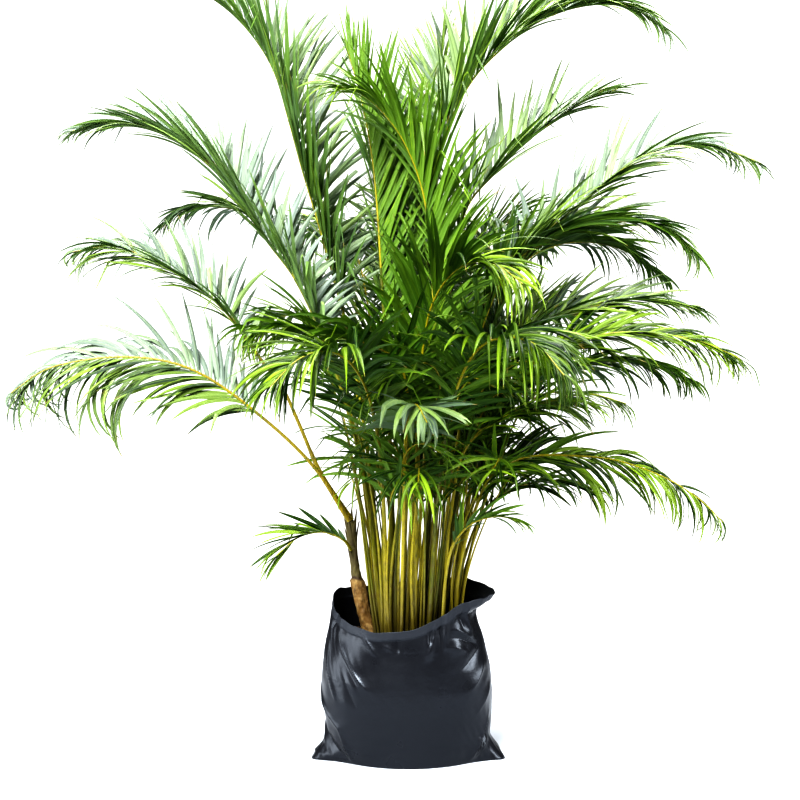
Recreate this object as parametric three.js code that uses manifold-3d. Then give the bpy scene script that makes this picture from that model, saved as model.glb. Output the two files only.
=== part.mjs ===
// A feather palm in a black film grow bag. Millimetres, +Z up, the front faces -Y,
// the origin is on the floor under the middle of the bag.
import * as THREE from "three";
import { mergeVertices } from "three/addons/utils/BufferGeometryUtils.js";
import Module from "manifold-3d";

const wasm = await Module();
wasm.setup();
const { Vector3 } = THREE;
const EAST = new Vector3(1, 0, 0);

// ---- Driving dimensions ------------------------------------------------------------------
const BAG = { halfWidth: 143, halfDepth: 104, film: 1.6, rim: 272, dip: 52, ear: 24, sides: 28 };
const SOIL = { top: 205, inset: 2.2, holeDepth: 60, holeGap: 0.4, earShare: 0.5, shootHole: 4 };
const STALK = { footRadius: 6.6, caneRadius: 4.6, topRadius: 3.1, sides: 6, step: 115 };
const RIB = { width: 5.2, height: 5.6, tip: 1.5, lastPair: 0.97, stemStep: 80 };
const LEAFLET = { width: 17, keel: 1.7, root: 9, rootAngle: 54, tipAngle: 18 };
// The old cane's centre line from its root to its flat top, and its radius at each of the points.
const CANE_LINE = [
  [-68, 0, 145], [-68, 0, 212], [-75, 0, 235], [-82, -2, 270], [-87, -3, 292], [-88, -3, 298],
  [-92, -4, 330], [-96, -5, 365], [-98, -4, 393],
];
const CANE_SIDES = 12;
const CANE_RADII = [12.5, 12.5, 12, 11.5, 12.5, 10, 9, 10, 13.5];
const SUNK = [SOIL.top - SOIL.holeDepth, SOIL.top + 7]; // the straight stretch that stands in a hole
const BUTT_GAP = 0.3; // between two pieces that meet end to end
const CLEAR = 0.5; // least distance from a leaflet to any other piece
const CLEAR_OWN = 0.2; // and to the rest of its own frond

// Points of a frond's line are written as they are seen from the front, on the plane y = 0:
// a point that lies further back is carried out along the line of sight of an eye at EYE.
const EYE = new Vector3(-14, -2100, 598);

// Each frond: where it begins, then its line [seen x, y, seen z] up to the tip. It begins at its
// foot in the soil [x, y], on a perch on the cane's flat top [x, y], or at a start [x, y, z] on
// the cane's side.
// bare: share of the line with no leaflets. leaf: longest leaflet. fold: how far each row is
// raised from flat. roll: turn of the whole blade about its rib. droop: fall of a leaflet's tip.
const FRONDS = [
  { name: "tall_left", foot: [-46, 26], bare: 0.56, pairs: 17, leaf: 190, fold: 35, roll: 35, droop: 0.25,
    line: [[-62, 22, 450], [-100, 28, 700], [-150, 25, 890], [-180, 20, 990], [-202, 15, 1070],
      [-228, 10, 1156], [-258, 0, 1208], [-300, -10, 1255], [-350, -20, 1290], [-415, -30, 1312]] },
  { name: "arch_left", foot: [-46, -27], bare: 0.56, pairs: 17, leaf: 165, fold: 38, roll: 34, droop: 0.3,
    line: [[-72, -15, 450], [-125, -15, 650], [-190, -15, 800], [-240, -15, 868], [-310, -20, 966],
      [-350, -22, 1006], [-400, -25, 1041], [-450, -28, 1061], [-500, -30, 1066], [-570, -35, 1056]] },
  { name: "back_left", foot: [-45, 45], bare: 0.66, pairs: 12, leaf: 120, fold: 15, roll: 0, droop: 0.4,
    line: [[-70, 90, 450], [-130, 110, 680], [-200, 120, 840], [-265, 130, 911], [-320, 140, 926],
      [-380, 150, 922], [-425, 155, 890]] },
  { name: "side_left", perch: [-96, 4], bare: 0.5, pairs: 14, leaf: 150, fold: 30, roll: 30, droop: 0.45,
    line: [[-150, 10, 476], [-185, 10, 556], [-215, 5, 621], [-250, 0, 666], [-300, 0, 736],
      [-340, -5, 776], [-400, -10, 816], [-450, -10, 841], [-500, -15, 860], [-570, -20, 850]] },
  { name: "far_left", perch: [-100, -12], bare: 0.36, pairs: 17, leaf: 185, fold: 28, roll: 32, droop: 0.6,
    line: [[-150, -20, 471], [-200, -25, 526], [-270, -30, 586], [-310, -35, 616], [-350, -40, 641],
      [-400, -45, 661], [-470, -50, 671], [-550, -55, 666], [-620, -60, 648], [-675, -65, 610]] },
  { name: "low_back_left", foot: [-38, 72], bare: 0.55, pairs: 13, leaf: 170, fold: 20, roll: 0, droop: 0.4,
    line: [[-60, 120, 420], [-100, 190, 600], [-150, 270, 712], [-212, 350, 742], [-275, 412, 700]] },
  { name: "front_left", foot: [-36, -62], bare: 0.55, pairs: 14, leaf: 170, fold: 20, roll: 0, droop: 0.45,
    line: [[-42, -115, 420], [-56, -180, 560], [-86, -260, 645], [-130, -340, 680], [-185, -415, 668],
      [-235, -480, 620]] },
  { name: "spear_left", foot: [-30, -6], bare: 0.62, pairs: 12, leaf: 170, fold: 30, roll: 0, droop: 0.1,
    line: [[-30, -12, 500], [-45, -20, 800], [-60, -28, 1000], [-80, -36, 1110], [-105, -45, 1200]] },
  { name: "facing_left", foot: [-14, -42], bare: 0.52, pairs: 14, leaf: 150, fold: 20, roll: -10, droop: 0.5,
    line: [[-2, -90, 450], [0, -140, 590], [-15, -180, 660], [-60, -220, 690], [-120, -265, 706],
      [-200, -310, 722], [-290, -350, 722]] },
  { name: "facing_middle", foot: [-12, -80], bare: 0.66, pairs: 9, leaf: 120, fold: 10, roll: 0, droop: 0.5,
    shoot: true, line: [[-8, -140, 400], [-5, -180, 520], [0, -230, 575], [14, -290, 590], [32, -350, 560]] },
  { name: "back_middle_left", foot: [-18, 68], bare: 0.55, pairs: 14, leaf: 180, fold: 20, roll: 0, droop: 0.4,
    line: [[-35, 140, 450], [-60, 210, 700], [-90, 290, 850], [-130, 380, 900], [-180, 460, 870]] },
  { name: "spear_middle", foot: [-5, 38], bare: 0.62, pairs: 10, leaf: 160, fold: 35, roll: 0, droop: 0.1,
    line: [[12, 80, 500], [26, 110, 800], [38, 125, 1000], [48, 135, 1100], [60, 150, 1220]] },
  { name: "crown", foot: [4, -20], bare: 0.56, pairs: 15, leaf: 190, fold: 20, roll: 0, droop: 0.35,
    line: [[28, -40, 500], [42, -55, 750], [38, -75, 866], [20, -100, 970], [-18, -130, 1055],
      [-75, -165, 1115], [-130, -200, 1135]] },
  { name: "tall_right", foot: [22, 10], bare: 0.6, pairs: 17, leaf: 180, fold: 34, roll: -36, droop: 0.35,
    line: [[42, 20, 500], [45, 22, 800], [52, 15, 1000], [78, 10, 1086], [112, 5, 1146],
      [160, 0, 1196], [220, -5, 1240], [290, -10, 1266], [370, -15, 1268], [430, -20, 1235]] },
  { name: "facing_low", foot: [10, -62], bare: 0.55, pairs: 14, leaf: 180, fold: 20, roll: 0, droop: 0.45,
    line: [[14, -105, 450], [20, -150, 640], [42, -200, 765], [90, -255, 825], [145, -310, 830],
      [195, -360, 795]] },
  { name: "back_middle", foot: [5, 74], bare: 0.55, pairs: 14, leaf: 180, fold: 20, roll: 0, droop: 0.4,
    line: [[8, 135, 450], [8, 235, 720], [4, 350, 870], [0, 460, 910], [-5, 550, 860]] },
  { name: "back_right", foot: [28, 72], bare: 0.55, pairs: 14, leaf: 180, fold: 20, roll: 0, droop: 0.4,
    line: [[50, 130, 450], [80, 190, 700], [120, 250, 850], [170, 320, 900], [230, 390, 870]] },
  { name: "front_right", foot: [33, -62], bare: 0.55, pairs: 14, leaf: 170, fold: 20, roll: 0, droop: 0.45,
    line: [[50, -115, 430], [74, -180, 590], [115, -260, 680], [165, -340, 705], [220, -420, 690],
      [265, -490, 640]] },
  { name: "high_right", foot: [35, 38], bare: 0.6, pairs: 14, leaf: 160, fold: 28, roll: -30, droop: 0.25,
    line: [[52, 60, 500], [74, 70, 800], [100, 75, 926], [150, 80, 986], [200, 85, 1036],
      [250, 85, 1076], [300, 85, 1106], [365, 85, 1130]] },
  { name: "arch_right", foot: [50, 4], bare: 0.52, pairs: 17, leaf: 155, fold: 30, roll: -35, droop: 0.4,
    line: [[84, -5, 450], [140, -10, 720], [215, -15, 862], [260, -18, 905], [300, -20, 936],
      [350, -22, 980], [400, -25, 1012], [450, -25, 1030], [520, -30, 1030], [600, -35, 1000]] },
  { name: "side_right", foot: [46, -30], bare: 0.52, pairs: 14, leaf: 160, fold: 25, roll: -25, droop: 0.4,
    line: [[72, -40, 450], [125, -50, 720], [180, -60, 832], [230, -65, 864], [300, -70, 891],
      [360, -75, 901], [430, -80, 892], [485, -85, 851]] },
  { name: "side_back_right", foot: [52, 60], bare: 0.56, pairs: 13, leaf: 140, fold: 20, roll: 0, droop: 0.4,
    line: [[82, 90, 450], [140, 110, 720], [195, 130, 830], [250, 140, 861], [310, 150, 866],
      [370, 155, 851], [435, 160, 806]] },
  { name: "mid_right", foot: [70, 22], bare: 0.45, pairs: 14, leaf: 150, fold: 30, roll: -20, droop: 0.3,
    line: [[98, 30, 400], [140, 35, 600], [180, 40, 694], [250, 40, 738], [330, 40, 760],
      [400, 40, 770], [490, 40, 756]] },
  { name: "mid_front_right", foot: [72, -12], bare: 0.45, pairs: 14, leaf: 150, fold: 25, roll: -20, droop: 0.4,
    line: [[104, -30, 400], [152, -40, 580], [210, -50, 656], [280, -55, 695], [350, -60, 712],
      [420, -65, 712], [500, -70, 696], [565, -75, 668]] },
  { name: "mid_back_right", foot: [66, 46], bare: 0.45, pairs: 13, leaf: 150, fold: 20, roll: 0, droop: 0.4,
    line: [[96, 82, 400], [136, 98, 550], [200, 105, 615], [280, 115, 650], [360, 120, 664],
      [430, 125, 655], [480, 130, 632]] },
  { name: "low_back_right", foot: [42, 70], bare: 0.5, pairs: 13, leaf: 170, fold: 20, roll: 0, droop: 0.4,
    line: [[70, 104, 400], [118, 180, 610], [180, 260, 720], [250, 330, 745], [320, 390, 700]] },
  { name: "low_right", foot: [79, -40], bare: 0.42, pairs: 14, leaf: 130, fold: 20, roll: -20, droop: 0.5,
    line: [[84, -45, 296], [112, -55, 406], [145, -62, 472], [200, -68, 500], [300, -72, 502],
      [350, -74, 496], [400, -77, 481], [450, -80, 459], [500, -82, 425], [535, -85, 390]] },
  { name: "fan_right", foot: [56, -62], bare: 0.5, pairs: 11, leaf: 120, fold: 20, roll: 0, droop: 0.4,
    shoot: true, line: [[72, -85, 400], [100, -105, 520], [170, -125, 572], [250, -140, 598],
      [310, -150, 608], [370, -155, 592]] },
  { name: "shoot_right", foot: [76, 66], bare: 0.5, pairs: 7, leaf: 110, fold: 20, roll: 0, droop: 0.4,
    shoot: true, line: [[96, 72, 330], [124, 66, 400], [162, 62, 440], [215, 60, 458],
      [270, 58, 460], [330, 56, 442]] },
  { name: "shoot_front", foot: [54, -80], bare: 0.55, pairs: 5, leaf: 80, fold: 10, roll: 0, droop: 0.4,
    shoot: true, line: [[64, -90, 300], [78, -104, 355], [108, -118, 388], [150, -128, 400],
      [192, -138, 392]] },
  { name: "shoot_left", start: [-96.6, -15.6, 345], bare: 0.25, pairs: 6, leaf: 100, fold: 10, roll: 0,
    droop: 0.3, shoot: true, line: [[-112, -48, 362], [-145, -62, 374], [-188, -76, 364], [-222, -86, 334]] },
];

const COLOURS = {
  bag: { color: 0x15171c, roughness: 0.25, metalness: 0 },
  soil: { color: 0x2a1d14, roughness: 1, metalness: 0 },
  cane: { color: 0x7a5a35, roughness: 0.8, metalness: 0 },
  stalk: { color: 0x9a9422, roughness: 0.5, metalness: 0 },
  leaf: { color: 0x4f8f1c, roughness: 0.5, metalness: 0 },
};

// ---- Surfaces made ring by ring ------------------------------------------------------------
// A skin is a closed surface under construction: its points, and its triangles facing out.
class Skin {
  points = [];
  faces = [];
  ring(vectors) {
    return vectors.map((v) => this.points.push(v) - 1);
  }
  // The wall from ring a to ring b; both run anticlockwise seen from b's side.
  wall(a, b) {
    a.forEach((_, i) => {
      const j = (i + 1) % a.length;
      this.faces.push([a[i], a[j], b[j]], [a[i], b[j], b[i]]);
    });
  }
  // A cap over ring a, seen anticlockwise: a fan round one extra point.
  fan(a, centre) {
    const c = this.points.push(centre) - 1;
    a.forEach((_, i) => this.faces.push([a[i], a[(i + 1) % a.length], c]));
  }
  // A flat cap over ring a, seen anticlockwise, with no extra point.
  flat(a) {
    for (let i = 1; i + 1 < a.length; i++) this.faces.push([a[0], a[i], a[i + 1]]);
  }
  geometry() {
    const made = new THREE.BufferGeometry();
    const flat = this.points.flatMap((v) => [v.x, v.y, v.z]);
    made.setAttribute("position", new THREE.Float32BufferAttribute(flat, 3));
    made.setIndex(this.faces.flat());
    return made;
  }
}

function solid(geometry) {
  const merged = mergeVertices(geometry, 1e-3);
  const vertProperties = merged.attributes.position.array;
  const triVerts = new Uint32Array(merged.index.array);
  return new wasm.Manifold(new wasm.Mesh({ numProp: 3, vertProperties, triVerts }));
}

function geometryOf(manifold) {
  const mesh = manifold.getMesh();
  const made = new THREE.BufferGeometry();
  made.setAttribute("position", new THREE.BufferAttribute(mesh.vertProperties, 3));
  made.setIndex(new THREE.BufferAttribute(mesh.triVerts, 1));
  return made;
}

// ---- The line of a frond ---------------------------------------------------------------------
const seen = ([x, y, z]) => new Vector3(x, 0, z).sub(EYE).multiplyScalar(1 - y / EYE.y).add(EYE);

function beginning({ foot, perch, start }) {
  if (foot) return new Vector3(...foot, SUNK[1]);
  return perch ? new Vector3(...perch, CANE_LINE.at(-1)[2] + BUTT_GAP) : new Vector3(...start);
}

function lineOf(frond) {
  const first = beginning(frond);
  const points = [first, ...frond.line.map(seen)];
  const curve = new THREE.CatmullRomCurve3(points, false, "centripetal");
  curve.arcLengthDivisions = 400;
  const ahead = points.at(-1).clone().sub(first).setZ(0).normalize();
  const right = new Vector3(ahead.y, -ahead.x, 0);
  return { curve, right, length: curve.getLength() };
}

// The frame at share u: along the rib, to its right, and up out of the blade.
function frameAt({ curve, right }, u, roll = 0) {
  const along = curve.getTangentAt(u);
  const side = right.clone().addScaledVector(along, -right.dot(along)).normalize();
  const up = side.clone().cross(along);
  const turn = THREE.MathUtils.degToRad(roll);
  const centre = curve.getPointAt(u);
  return {
    centre,
    along,
    side: side.clone().multiplyScalar(Math.cos(turn)).addScaledVector(up, Math.sin(turn)),
    up: up.multiplyScalar(Math.cos(turn)).addScaledVector(side, -Math.sin(turn)),
  };
}

function roundRing({ centre, side, up }, radius, sides = STALK.sides) {
  return Array.from({ length: sides }, (_, i) => {
    const a = (2 * Math.PI * i) / sides;
    const out = side.clone().multiplyScalar(Math.cos(a)).addScaledVector(up, -Math.sin(a));
    return centre.clone().addScaledVector(out, radius);
  });
}

// ---- Stalks ------------------------------------------------------------------------------------
const stalkRadius = (share) => THREE.MathUtils.lerp(STALK.footRadius, STALK.topRadius, share ** 0.6);

// A level frame over the frond's beginning, at height z.
function levelFrame(frond, { right }, z) {
  const [x, y] = frond.foot ?? frond.perch;
  return { centre: new Vector3(x, y, z), side: right, up: new Vector3(right.y, -right.x, 0) };
}

function stalk(frond, line) {
  const skin = new Skin();
  const steps = Math.max(4, Math.round((line.length * frond.bare) / STALK.step));
  const rings = [];
  if (frond.foot) rings.push(...SUNK.map((z) => roundRing(levelFrame(frond, line, z), STALK.footRadius)));
  else rings.push(roundRing(levelFrame(frond, line, beginning(frond).z), STALK.caneRadius));
  const last = frond.bare - BUTT_GAP / line.length;
  const most = frond.foot ? STALK.footRadius : STALK.caneRadius;
  for (let i = 1; i <= steps; i++)
    rings.push(roundRing(frameAt(line, (i / steps) * last), Math.min(most, stalkRadius(i / steps))));
  const made = rings.map((r) => skin.ring(r));
  for (let i = 1; i < made.length; i++) skin.wall(made[i - 1], made[i]);
  skin.flat(made[0].toReversed());
  skin.flat(made.at(-1));
  return skin;
}

// ---- Fronds ------------------------------------------------------------------------------------
// The rib is a four-sided bar. Every leaflet grows out of one of its side faces, so that rib and
// leaflets are one surface: two root edges on the rib, a three-cornered middle, and a tip.
const leafLength = (v) => Math.sin(Math.PI * (0.2 + 0.7 * v)) ** 0.8;

function ribRing(frame, share) {
  const w = THREE.MathUtils.lerp(RIB.width, RIB.tip, share) / 2;
  const h = THREE.MathUtils.lerp(RIB.height, RIB.tip, share) / 2;
  const corner = (s, t) =>
    frame.centre.clone().addScaledVector(frame.side, s * w).addScaledVector(frame.up, t * h);
  // top left, top right, bottom right, bottom left
  return [corner(-1, 1), corner(1, 1), corner(1, -1), corner(-1, -1)];
}

function ribOf(frond, line) {
  const skin = new Skin();
  const first = frond.shoot ? 0 : frond.bare;
  const spacing = (RIB.lastPair - frond.bare) / frond.pairs;
  const half = LEAFLET.root / line.length / 2;
  const stations = [];
  if (frond.shoot) {
    const steps = Math.max(2, Math.round((line.length * frond.bare) / RIB.stemStep));
    for (let i = 0; i < steps; i++) stations.push({ u: (i / steps) * frond.bare, share: 0, bare: true });
  } else stations.push({ u: frond.bare, share: 0 });
  for (let k = 0; k < frond.pairs; k++) {
    const v = (k + 0.5) / frond.pairs;
    const u = frond.bare + (RIB.lastPair - frond.bare) * v;
    const root = Math.min(half, spacing * 0.35);
    stations.push({ u: u - root, share: v, pair: k }, { u: u + root, share: v });
  }
  const rings = stations.map(({ u, share, bare }) => {
    const frame = frameAt(line, u, frond.roll * (bare ? 0 : 1));
    return skin.ring(ribRing(frame, share));
  });
  if (frond.shoot && frond.foot) {
    rings[0] = skin.ring(ribRing(levelFrame(frond, line, SUNK[1]), 0));
    rings.unshift(skin.ring(ribRing(levelFrame(frond, line, SUNK[0]), 0)));
    stations.unshift({ u: 0 });
  }
  const slots = [];
  for (let i = 0; i + 1 < rings.length; i++) {
    const [tl, tr, br, bl] = rings[i];
    const [TL, TR, BR, BL] = rings[i + 1];
    skin.faces.push([tl, tr, TR], [tl, TR, TL], [bl, BR, br], [bl, BL, BR]);
    const right = [tr, TR, BR, br];
    const left = [tl, TL, BL, bl];
    if (stations[i].pair === undefined) {
      skin.faces.push(...sideFaces(right, 1), ...sideFaces(left, -1));
    } else {
      const u = (stations[i].u + stations[i + 1].u) / 2;
      slots.push({ u, v: stations[i].share, corners: right, side: 1 });
      slots.push({ u, v: stations[i].share, corners: left, side: -1 });
    }
  }
  const [tl, tr, br, bl] = rings[0];
  skin.faces.push([tl, bl, br], [tl, br, tr]);
  const tip = skin.points.push(line.curve.getPointAt(1)) - 1;
  const [a, b, c, d] = rings.at(-1);
  skin.faces.push([a, b, tip], [b, c, tip], [c, d, tip], [d, a, tip]);
  return { skin, slots };
}

const turned = (faces, side) => (side > 0 ? faces : faces.map(([a, b, c]) => [a, c, b]));
const sideFaces = ([p0, p1, p2, p3], side) => turned([[p0, p3, p2], [p0, p2, p1]], side);

// One leaflet out of a side face: lift raises it from its row, size scales its length.
function leaflet(frond, line, skin, slot, { lift, size }) {
  const frame = frameAt(line, slot.u, frond.roll);
  const rad = THREE.MathUtils.degToRad;
  const angle = rad(THREE.MathUtils.lerp(LEAFLET.rootAngle, LEAFLET.tipAngle, slot.v));
  const raise = rad(frond.fold + lift);
  const level = frame.side.clone().multiplyScalar(slot.side * Math.cos(raise));
  const out = level.addScaledVector(frame.up, Math.sin(raise));
  const way = frame.along.clone().multiplyScalar(Math.cos(angle)).addScaledVector(out, Math.sin(angle));
  const long = frond.leaf * leafLength(slot.v) * size;
  const root = slot.corners.reduce((sum, i) => sum.add(skin.points[i]), new Vector3()).divideScalar(4);
  const down = new Vector3(0, 0, -frond.droop * long);
  const middle = root.clone().addScaledVector(way, long * 0.5).addScaledVector(down, 0.25);
  const tip = root.clone().addScaledVector(way, long).add(down);
  const first = middle.clone().sub(root).normalize();
  const across = frame.along.clone().addScaledVector(first, -frame.along.dot(first)).normalize();
  const under = across.clone().cross(first).multiplyScalar(slot.side);
  const spacing = (line.length * (RIB.lastPair - frond.bare)) / frond.pairs;
  const width = Math.min(LEAFLET.width, 0.8 * spacing * Math.sin(angle));
  const made = [
    middle.clone().addScaledVector(across, -width / 2),
    middle.clone().addScaledVector(across, width / 2),
    middle.clone().addScaledVector(under, LEAFLET.keel),
    tip,
  ];
  const [e0, e1, k, t] = made.map((_, i) => skin.points.length + i);
  const [p0, p1, p2, p3] = slot.corners;
  const faces = turned(
    [[p0, p3, k], [p0, k, e0], [p3, p2, k], [p2, p1, e1], [p2, e1, k], [p1, p0, e0], [p1, e0, e1],
      [e0, k, t], [k, e1, t], [e1, e0, t]],
    slot.side,
  );
  return { made, faces };
}

// ---- Keeping leaflets clear --------------------------------------------------------------------
const CELL = 45;
const cells = new Map();
const spot = (v) => Math.floor(v / CELL);

function eachCell(box, visit) {
  for (let x = spot(box.min.x); x <= spot(box.max.x); x++)
    for (let y = spot(box.min.y); y <= spot(box.max.y); y++)
      for (let z = spot(box.min.z); z <= spot(box.max.z); z++) visit(x + "," + y + "," + z);
}

function placed(owner, points, face) {
  const triangle = new THREE.Triangle(...face.map((i) => points[i]));
  const box = new THREE.Box3().setFromPoints([triangle.a, triangle.b, triangle.c]);
  return { owner, face, triangle, box };
}

function keep(item) {
  eachCell(item.box, (key) => {
    if (!cells.has(key)) cells.set(key, []);
    cells.get(key).push(item);
  });
}

const edgesOf = ({ a, b, c }) => [new THREE.Line3(a, b), new THREE.Line3(b, c), new THREE.Line3(c, a)];
const hit = new Vector3();
const ray = new THREE.Ray();

function pierces(edge, { a, b, c }) {
  ray.origin.copy(edge.start);
  edge.delta(ray.direction);
  const long = ray.direction.length();
  ray.direction.divideScalar(long);
  return ray.intersectTriangle(a, b, c, false, hit) !== null && hit.distanceTo(edge.start) <= long;
}

// Two triangles are near if an edge of one goes through the other, or a corner or edge comes close.
function near(s, t, gap) {
  const se = edgesOf(s);
  const te = edgesOf(t);
  if (se.some((e) => pierces(e, t)) || te.some((e) => pierces(e, s))) return true;
  const close = (p, q) => q.closestPointToPoint(p, hit).distanceTo(p) < gap;
  if ([s.a, s.b, s.c].some((p) => close(p, t)) || [t.a, t.b, t.c].some((p) => close(p, s))) return true;
  return se.some((e) => te.some((f) => e.distanceSqToLine3(f) < gap * gap));
}

function isClear(items) {
  return items.every((item) => {
    const wide = item.box.clone().expandByScalar(CLEAR);
    let clear = true;
    const done = new Set();
    eachCell(wide, (key) => {
      for (const other of cells.get(key) ?? []) {
        if (!clear || done.has(other)) continue;
        done.add(other);
        if (!wide.intersectsBox(other.box)) continue;
        const own = other.owner === item.owner;
        if (own && other.face.some((i) => item.face.includes(i))) continue;
        if (near(item.triangle, other.triangle, own ? CLEAR_OWN : CLEAR)) clear = false;
      }
    });
    return clear;
  });
}

// A leaflet that would cross something is raised or lowered a little, then shortened, then left out.
const TRIES = [1, 0.8, 0.6].flatMap((size) => [0, 10, -10, 20, -20, 32, -32].map((lift) => ({ lift, size })));

function growLeaflet(name, frond, line, { skin, slots }, index) {
  const slot = slots[index];
  for (const change of TRIES) {
    const { made, faces } = leaflet(frond, line, skin, slot, change);
    const points = [...skin.points, ...made];
    const items = faces.map((face) => placed(name, points, face));
    if (!isClear(items)) continue;
    skin.points.push(...made);
    skin.faces.push(...faces);
    items.forEach(keep);
    return;
  }
  skin.faces.push(...sideFaces(slot.corners, slot.side));
}

// ---- The bag -----------------------------------------------------------------------------------
const DIP_ANGLE = THREE.MathUtils.degToRad(108); // the rim is lowest a little left of the front

// Rounded over most of its height and flat at the floor, where a corner ear stands out on each side.
const mouth = (angle) => BAG.rim - BAG.dip * Math.max(0, Math.cos(angle + DIP_ANGLE)) ** 1.3;

function bagPoint(angle, share, inset = 0, ear = BAG.ear) {
  const z = share * mouth(angle);
  const belly = 1 - 0.035 * Math.cos(Math.PI * share * 2) - 0.03 * share;
  const boxy = (v) => Math.sign(v) * Math.abs(v) ** 0.82;
  const toSide = Math.abs(Math.cos(angle)) ** 8;
  const low = Math.max(0, 1 - share / 0.16) ** 1.5;
  const lip = 14 * Math.max(0, Math.cos(angle)) ** 6 * Math.max(0, share - 0.88) / 0.12;
  const x = boxy(Math.cos(angle)) * (BAG.halfWidth * belly + ear * toSide * low + lip - inset);
  const pinch = 1 - 0.3 * low * Math.abs(Math.cos(angle)) ** 1.5;
  const y = boxy(Math.sin(angle)) * (BAG.halfDepth * belly * pinch - inset);
  return new Vector3(x, y, z);
}

function bagRing(skin, share, inset, lift = 0, ear = BAG.ear) {
  const points = Array.from({ length: BAG.sides }, (_, i) =>
    bagPoint((2 * Math.PI * (i + 0.5)) / BAG.sides, share, inset, ear).add(new Vector3(0, 0, lift)),
  );
  return skin.ring(points);
}

const BAG_LEVELS = [0, 0.03, 0.09, 0.17, 0.35, 0.6, 0.8, 0.9, 1];
const SOIL_LEVELS = 6; // the soil follows the film over the first of these

function bag() {
  const skin = new Skin();
  const outer = BAG_LEVELS.map((share) => bagRing(skin, share, 0));
  const inner = BAG_LEVELS.map((share, i) => bagRing(skin, share, BAG.film, i ? 0 : BAG.film)).toReversed();
  const walls = [...outer, ...inner];
  for (let i = 1; i < walls.length; i++) skin.wall(walls[i - 1], walls[i]);
  skin.fan(outer[0].toReversed(), new Vector3(0, 0, 0));
  skin.fan(inner.at(-1), new Vector3(0, 0, BAG.film));
  return skin;
}

// ---- Soil --------------------------------------------------------------------------------------
const bump = (x, y) => 3 * Math.sin(x / 17) * Math.cos(y / 23) + 2 * Math.sin((x + y) / 11);

// A level ring on the bag's inside.
function soilRing(skin, z, inset, scale) {
  const points = Array.from({ length: BAG.sides }, (_, i) => {
    const angle = (2 * Math.PI * (i + 0.5)) / BAG.sides;
    const at = bagPoint(angle, z / mouth(angle), inset);
    return new Vector3(at.x * scale, at.y * scale, z);
  });
  return skin.ring(points);
}

function soil(feet) {
  const skin = new Skin();
  const inset = BAG.film + SOIL.inset;
  const low = BAG.film + BUTT_GAP;
  const ear = BAG.ear * SOIL.earShare; // the soil doesn't fill the flat corners
  const levels = BAG_LEVELS.slice(0, SOIL_LEVELS);
  const sides = levels.map((share, i) => bagRing(skin, share, inset, i ? 0 : low, ear));
  const heap = [1, 0.75, 0.4].map((scale) => soilRing(skin, SOIL.top - 3, inset + 1, scale));
  const all = [...sides, ...heap];
  for (let i = 1; i < all.length; i++) skin.wall(all[i - 1], all[i]);
  heap.flat().forEach((i) => (skin.points[i].z += bump(skin.points[i].x, skin.points[i].y)));
  skin.fan(sides[0].toReversed(), new Vector3(0, 0, low));
  skin.fan(heap.at(-1), new Vector3(0, 0, SOIL.top));
  return feet.reduce((body, foot) => body.subtract(hole(foot)), solid(skin.geometry()));
}

// A plain hole that a stem stands in, a little wider and deeper than the stem.
function hole({ at, right, radius, sides }) {
  const skin = new Skin();
  const up = new Vector3(right.y, -right.x, 0);
  const [bottom, top] = [SOIL.top - SOIL.holeDepth - SOIL.holeGap, SOIL.top + 30].map((z) =>
    skin.ring(roundRing({ centre: new Vector3(...at, z), side: right, up }, radius + SOIL.holeGap, sides)),
  );
  skin.wall(bottom, top);
  skin.flat(bottom.toReversed());
  skin.flat(top);
  return solid(skin.geometry());
}

// ---- The old cane ------------------------------------------------------------------------------
function cane() {
  const skin = new Skin();
  const rings = CANE_LINE.map((point, i) => {
    const level = { centre: new Vector3(...point), side: EAST, up: new Vector3(0, -1, 0) };
    return skin.ring(roundRing(level, CANE_RADII[i], CANE_SIDES));
  });
  for (let i = 1; i < rings.length; i++) skin.wall(rings[i - 1], rings[i]);
  skin.flat(rings[0].toReversed());
  skin.flat(rings.at(-1));
  return skin;
}

// ---- The whole plant ----------------------------------------------------------------------------
const palm = new THREE.Group();
palm.name = "potted_palm";

function add(name, geometry, colour) {
  const mesh = new THREE.Mesh(geometry, new THREE.MeshStandardMaterial(COLOURS[colour]));
  mesh.name = name;
  palm.add(mesh);
}

const growing = FRONDS.map((frond) => {
  const line = lineOf(frond);
  const name = frond.name + (frond.shoot ? "" : "_frond");
  return { frond, line, name, rib: ribOf(frond, line), stalk: frond.shoot ? null : stalk(frond, line) };
});

const fixed = { cane: cane() };
for (const { frond, name, rib, stalk } of growing) {
  rib.skin.faces.forEach((face) => keep(placed(name, rib.skin.points, face)));
  if (stalk) fixed[frond.name + "_stalk"] = stalk;
}
for (const [name, skin] of Object.entries(fixed))
  skin.faces.forEach((face) => keep(placed(name, skin.points, face)));

// Leaflets grow in turn on every frond, from the tips back, so that none takes another's room.
for (let turn = 0; turn < 2 * Math.max(...FRONDS.map((f) => f.pairs)); turn++)
  for (const { frond, line, name, rib } of growing)
    if (turn < rib.slots.length) growLeaflet(name, frond, line, rib, rib.slots.length - 1 - turn);

const feet = growing
  .filter(({ frond }) => frond.foot)
  .map(({ frond, line }) => ({
    at: frond.foot,
    right: line.right,
    radius: frond.shoot ? SOIL.shootHole : STALK.footRadius,
  }));
feet.push({ at: CANE_LINE[0].slice(0, 2), right: EAST, radius: CANE_RADII[0], sides: CANE_SIDES });

add("bag", bag().geometry(), "bag");
add("soil", geometryOf(soil(feet)), "soil");
add("cane", fixed.cane.geometry(), "cane");
for (const { frond, name, rib, stalk } of growing) {
  if (stalk) add(frond.name + "_stalk", stalk.geometry(), "stalk");
  add(name, rib.skin.geometry(), "leaf");
}

export default palm;
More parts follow.
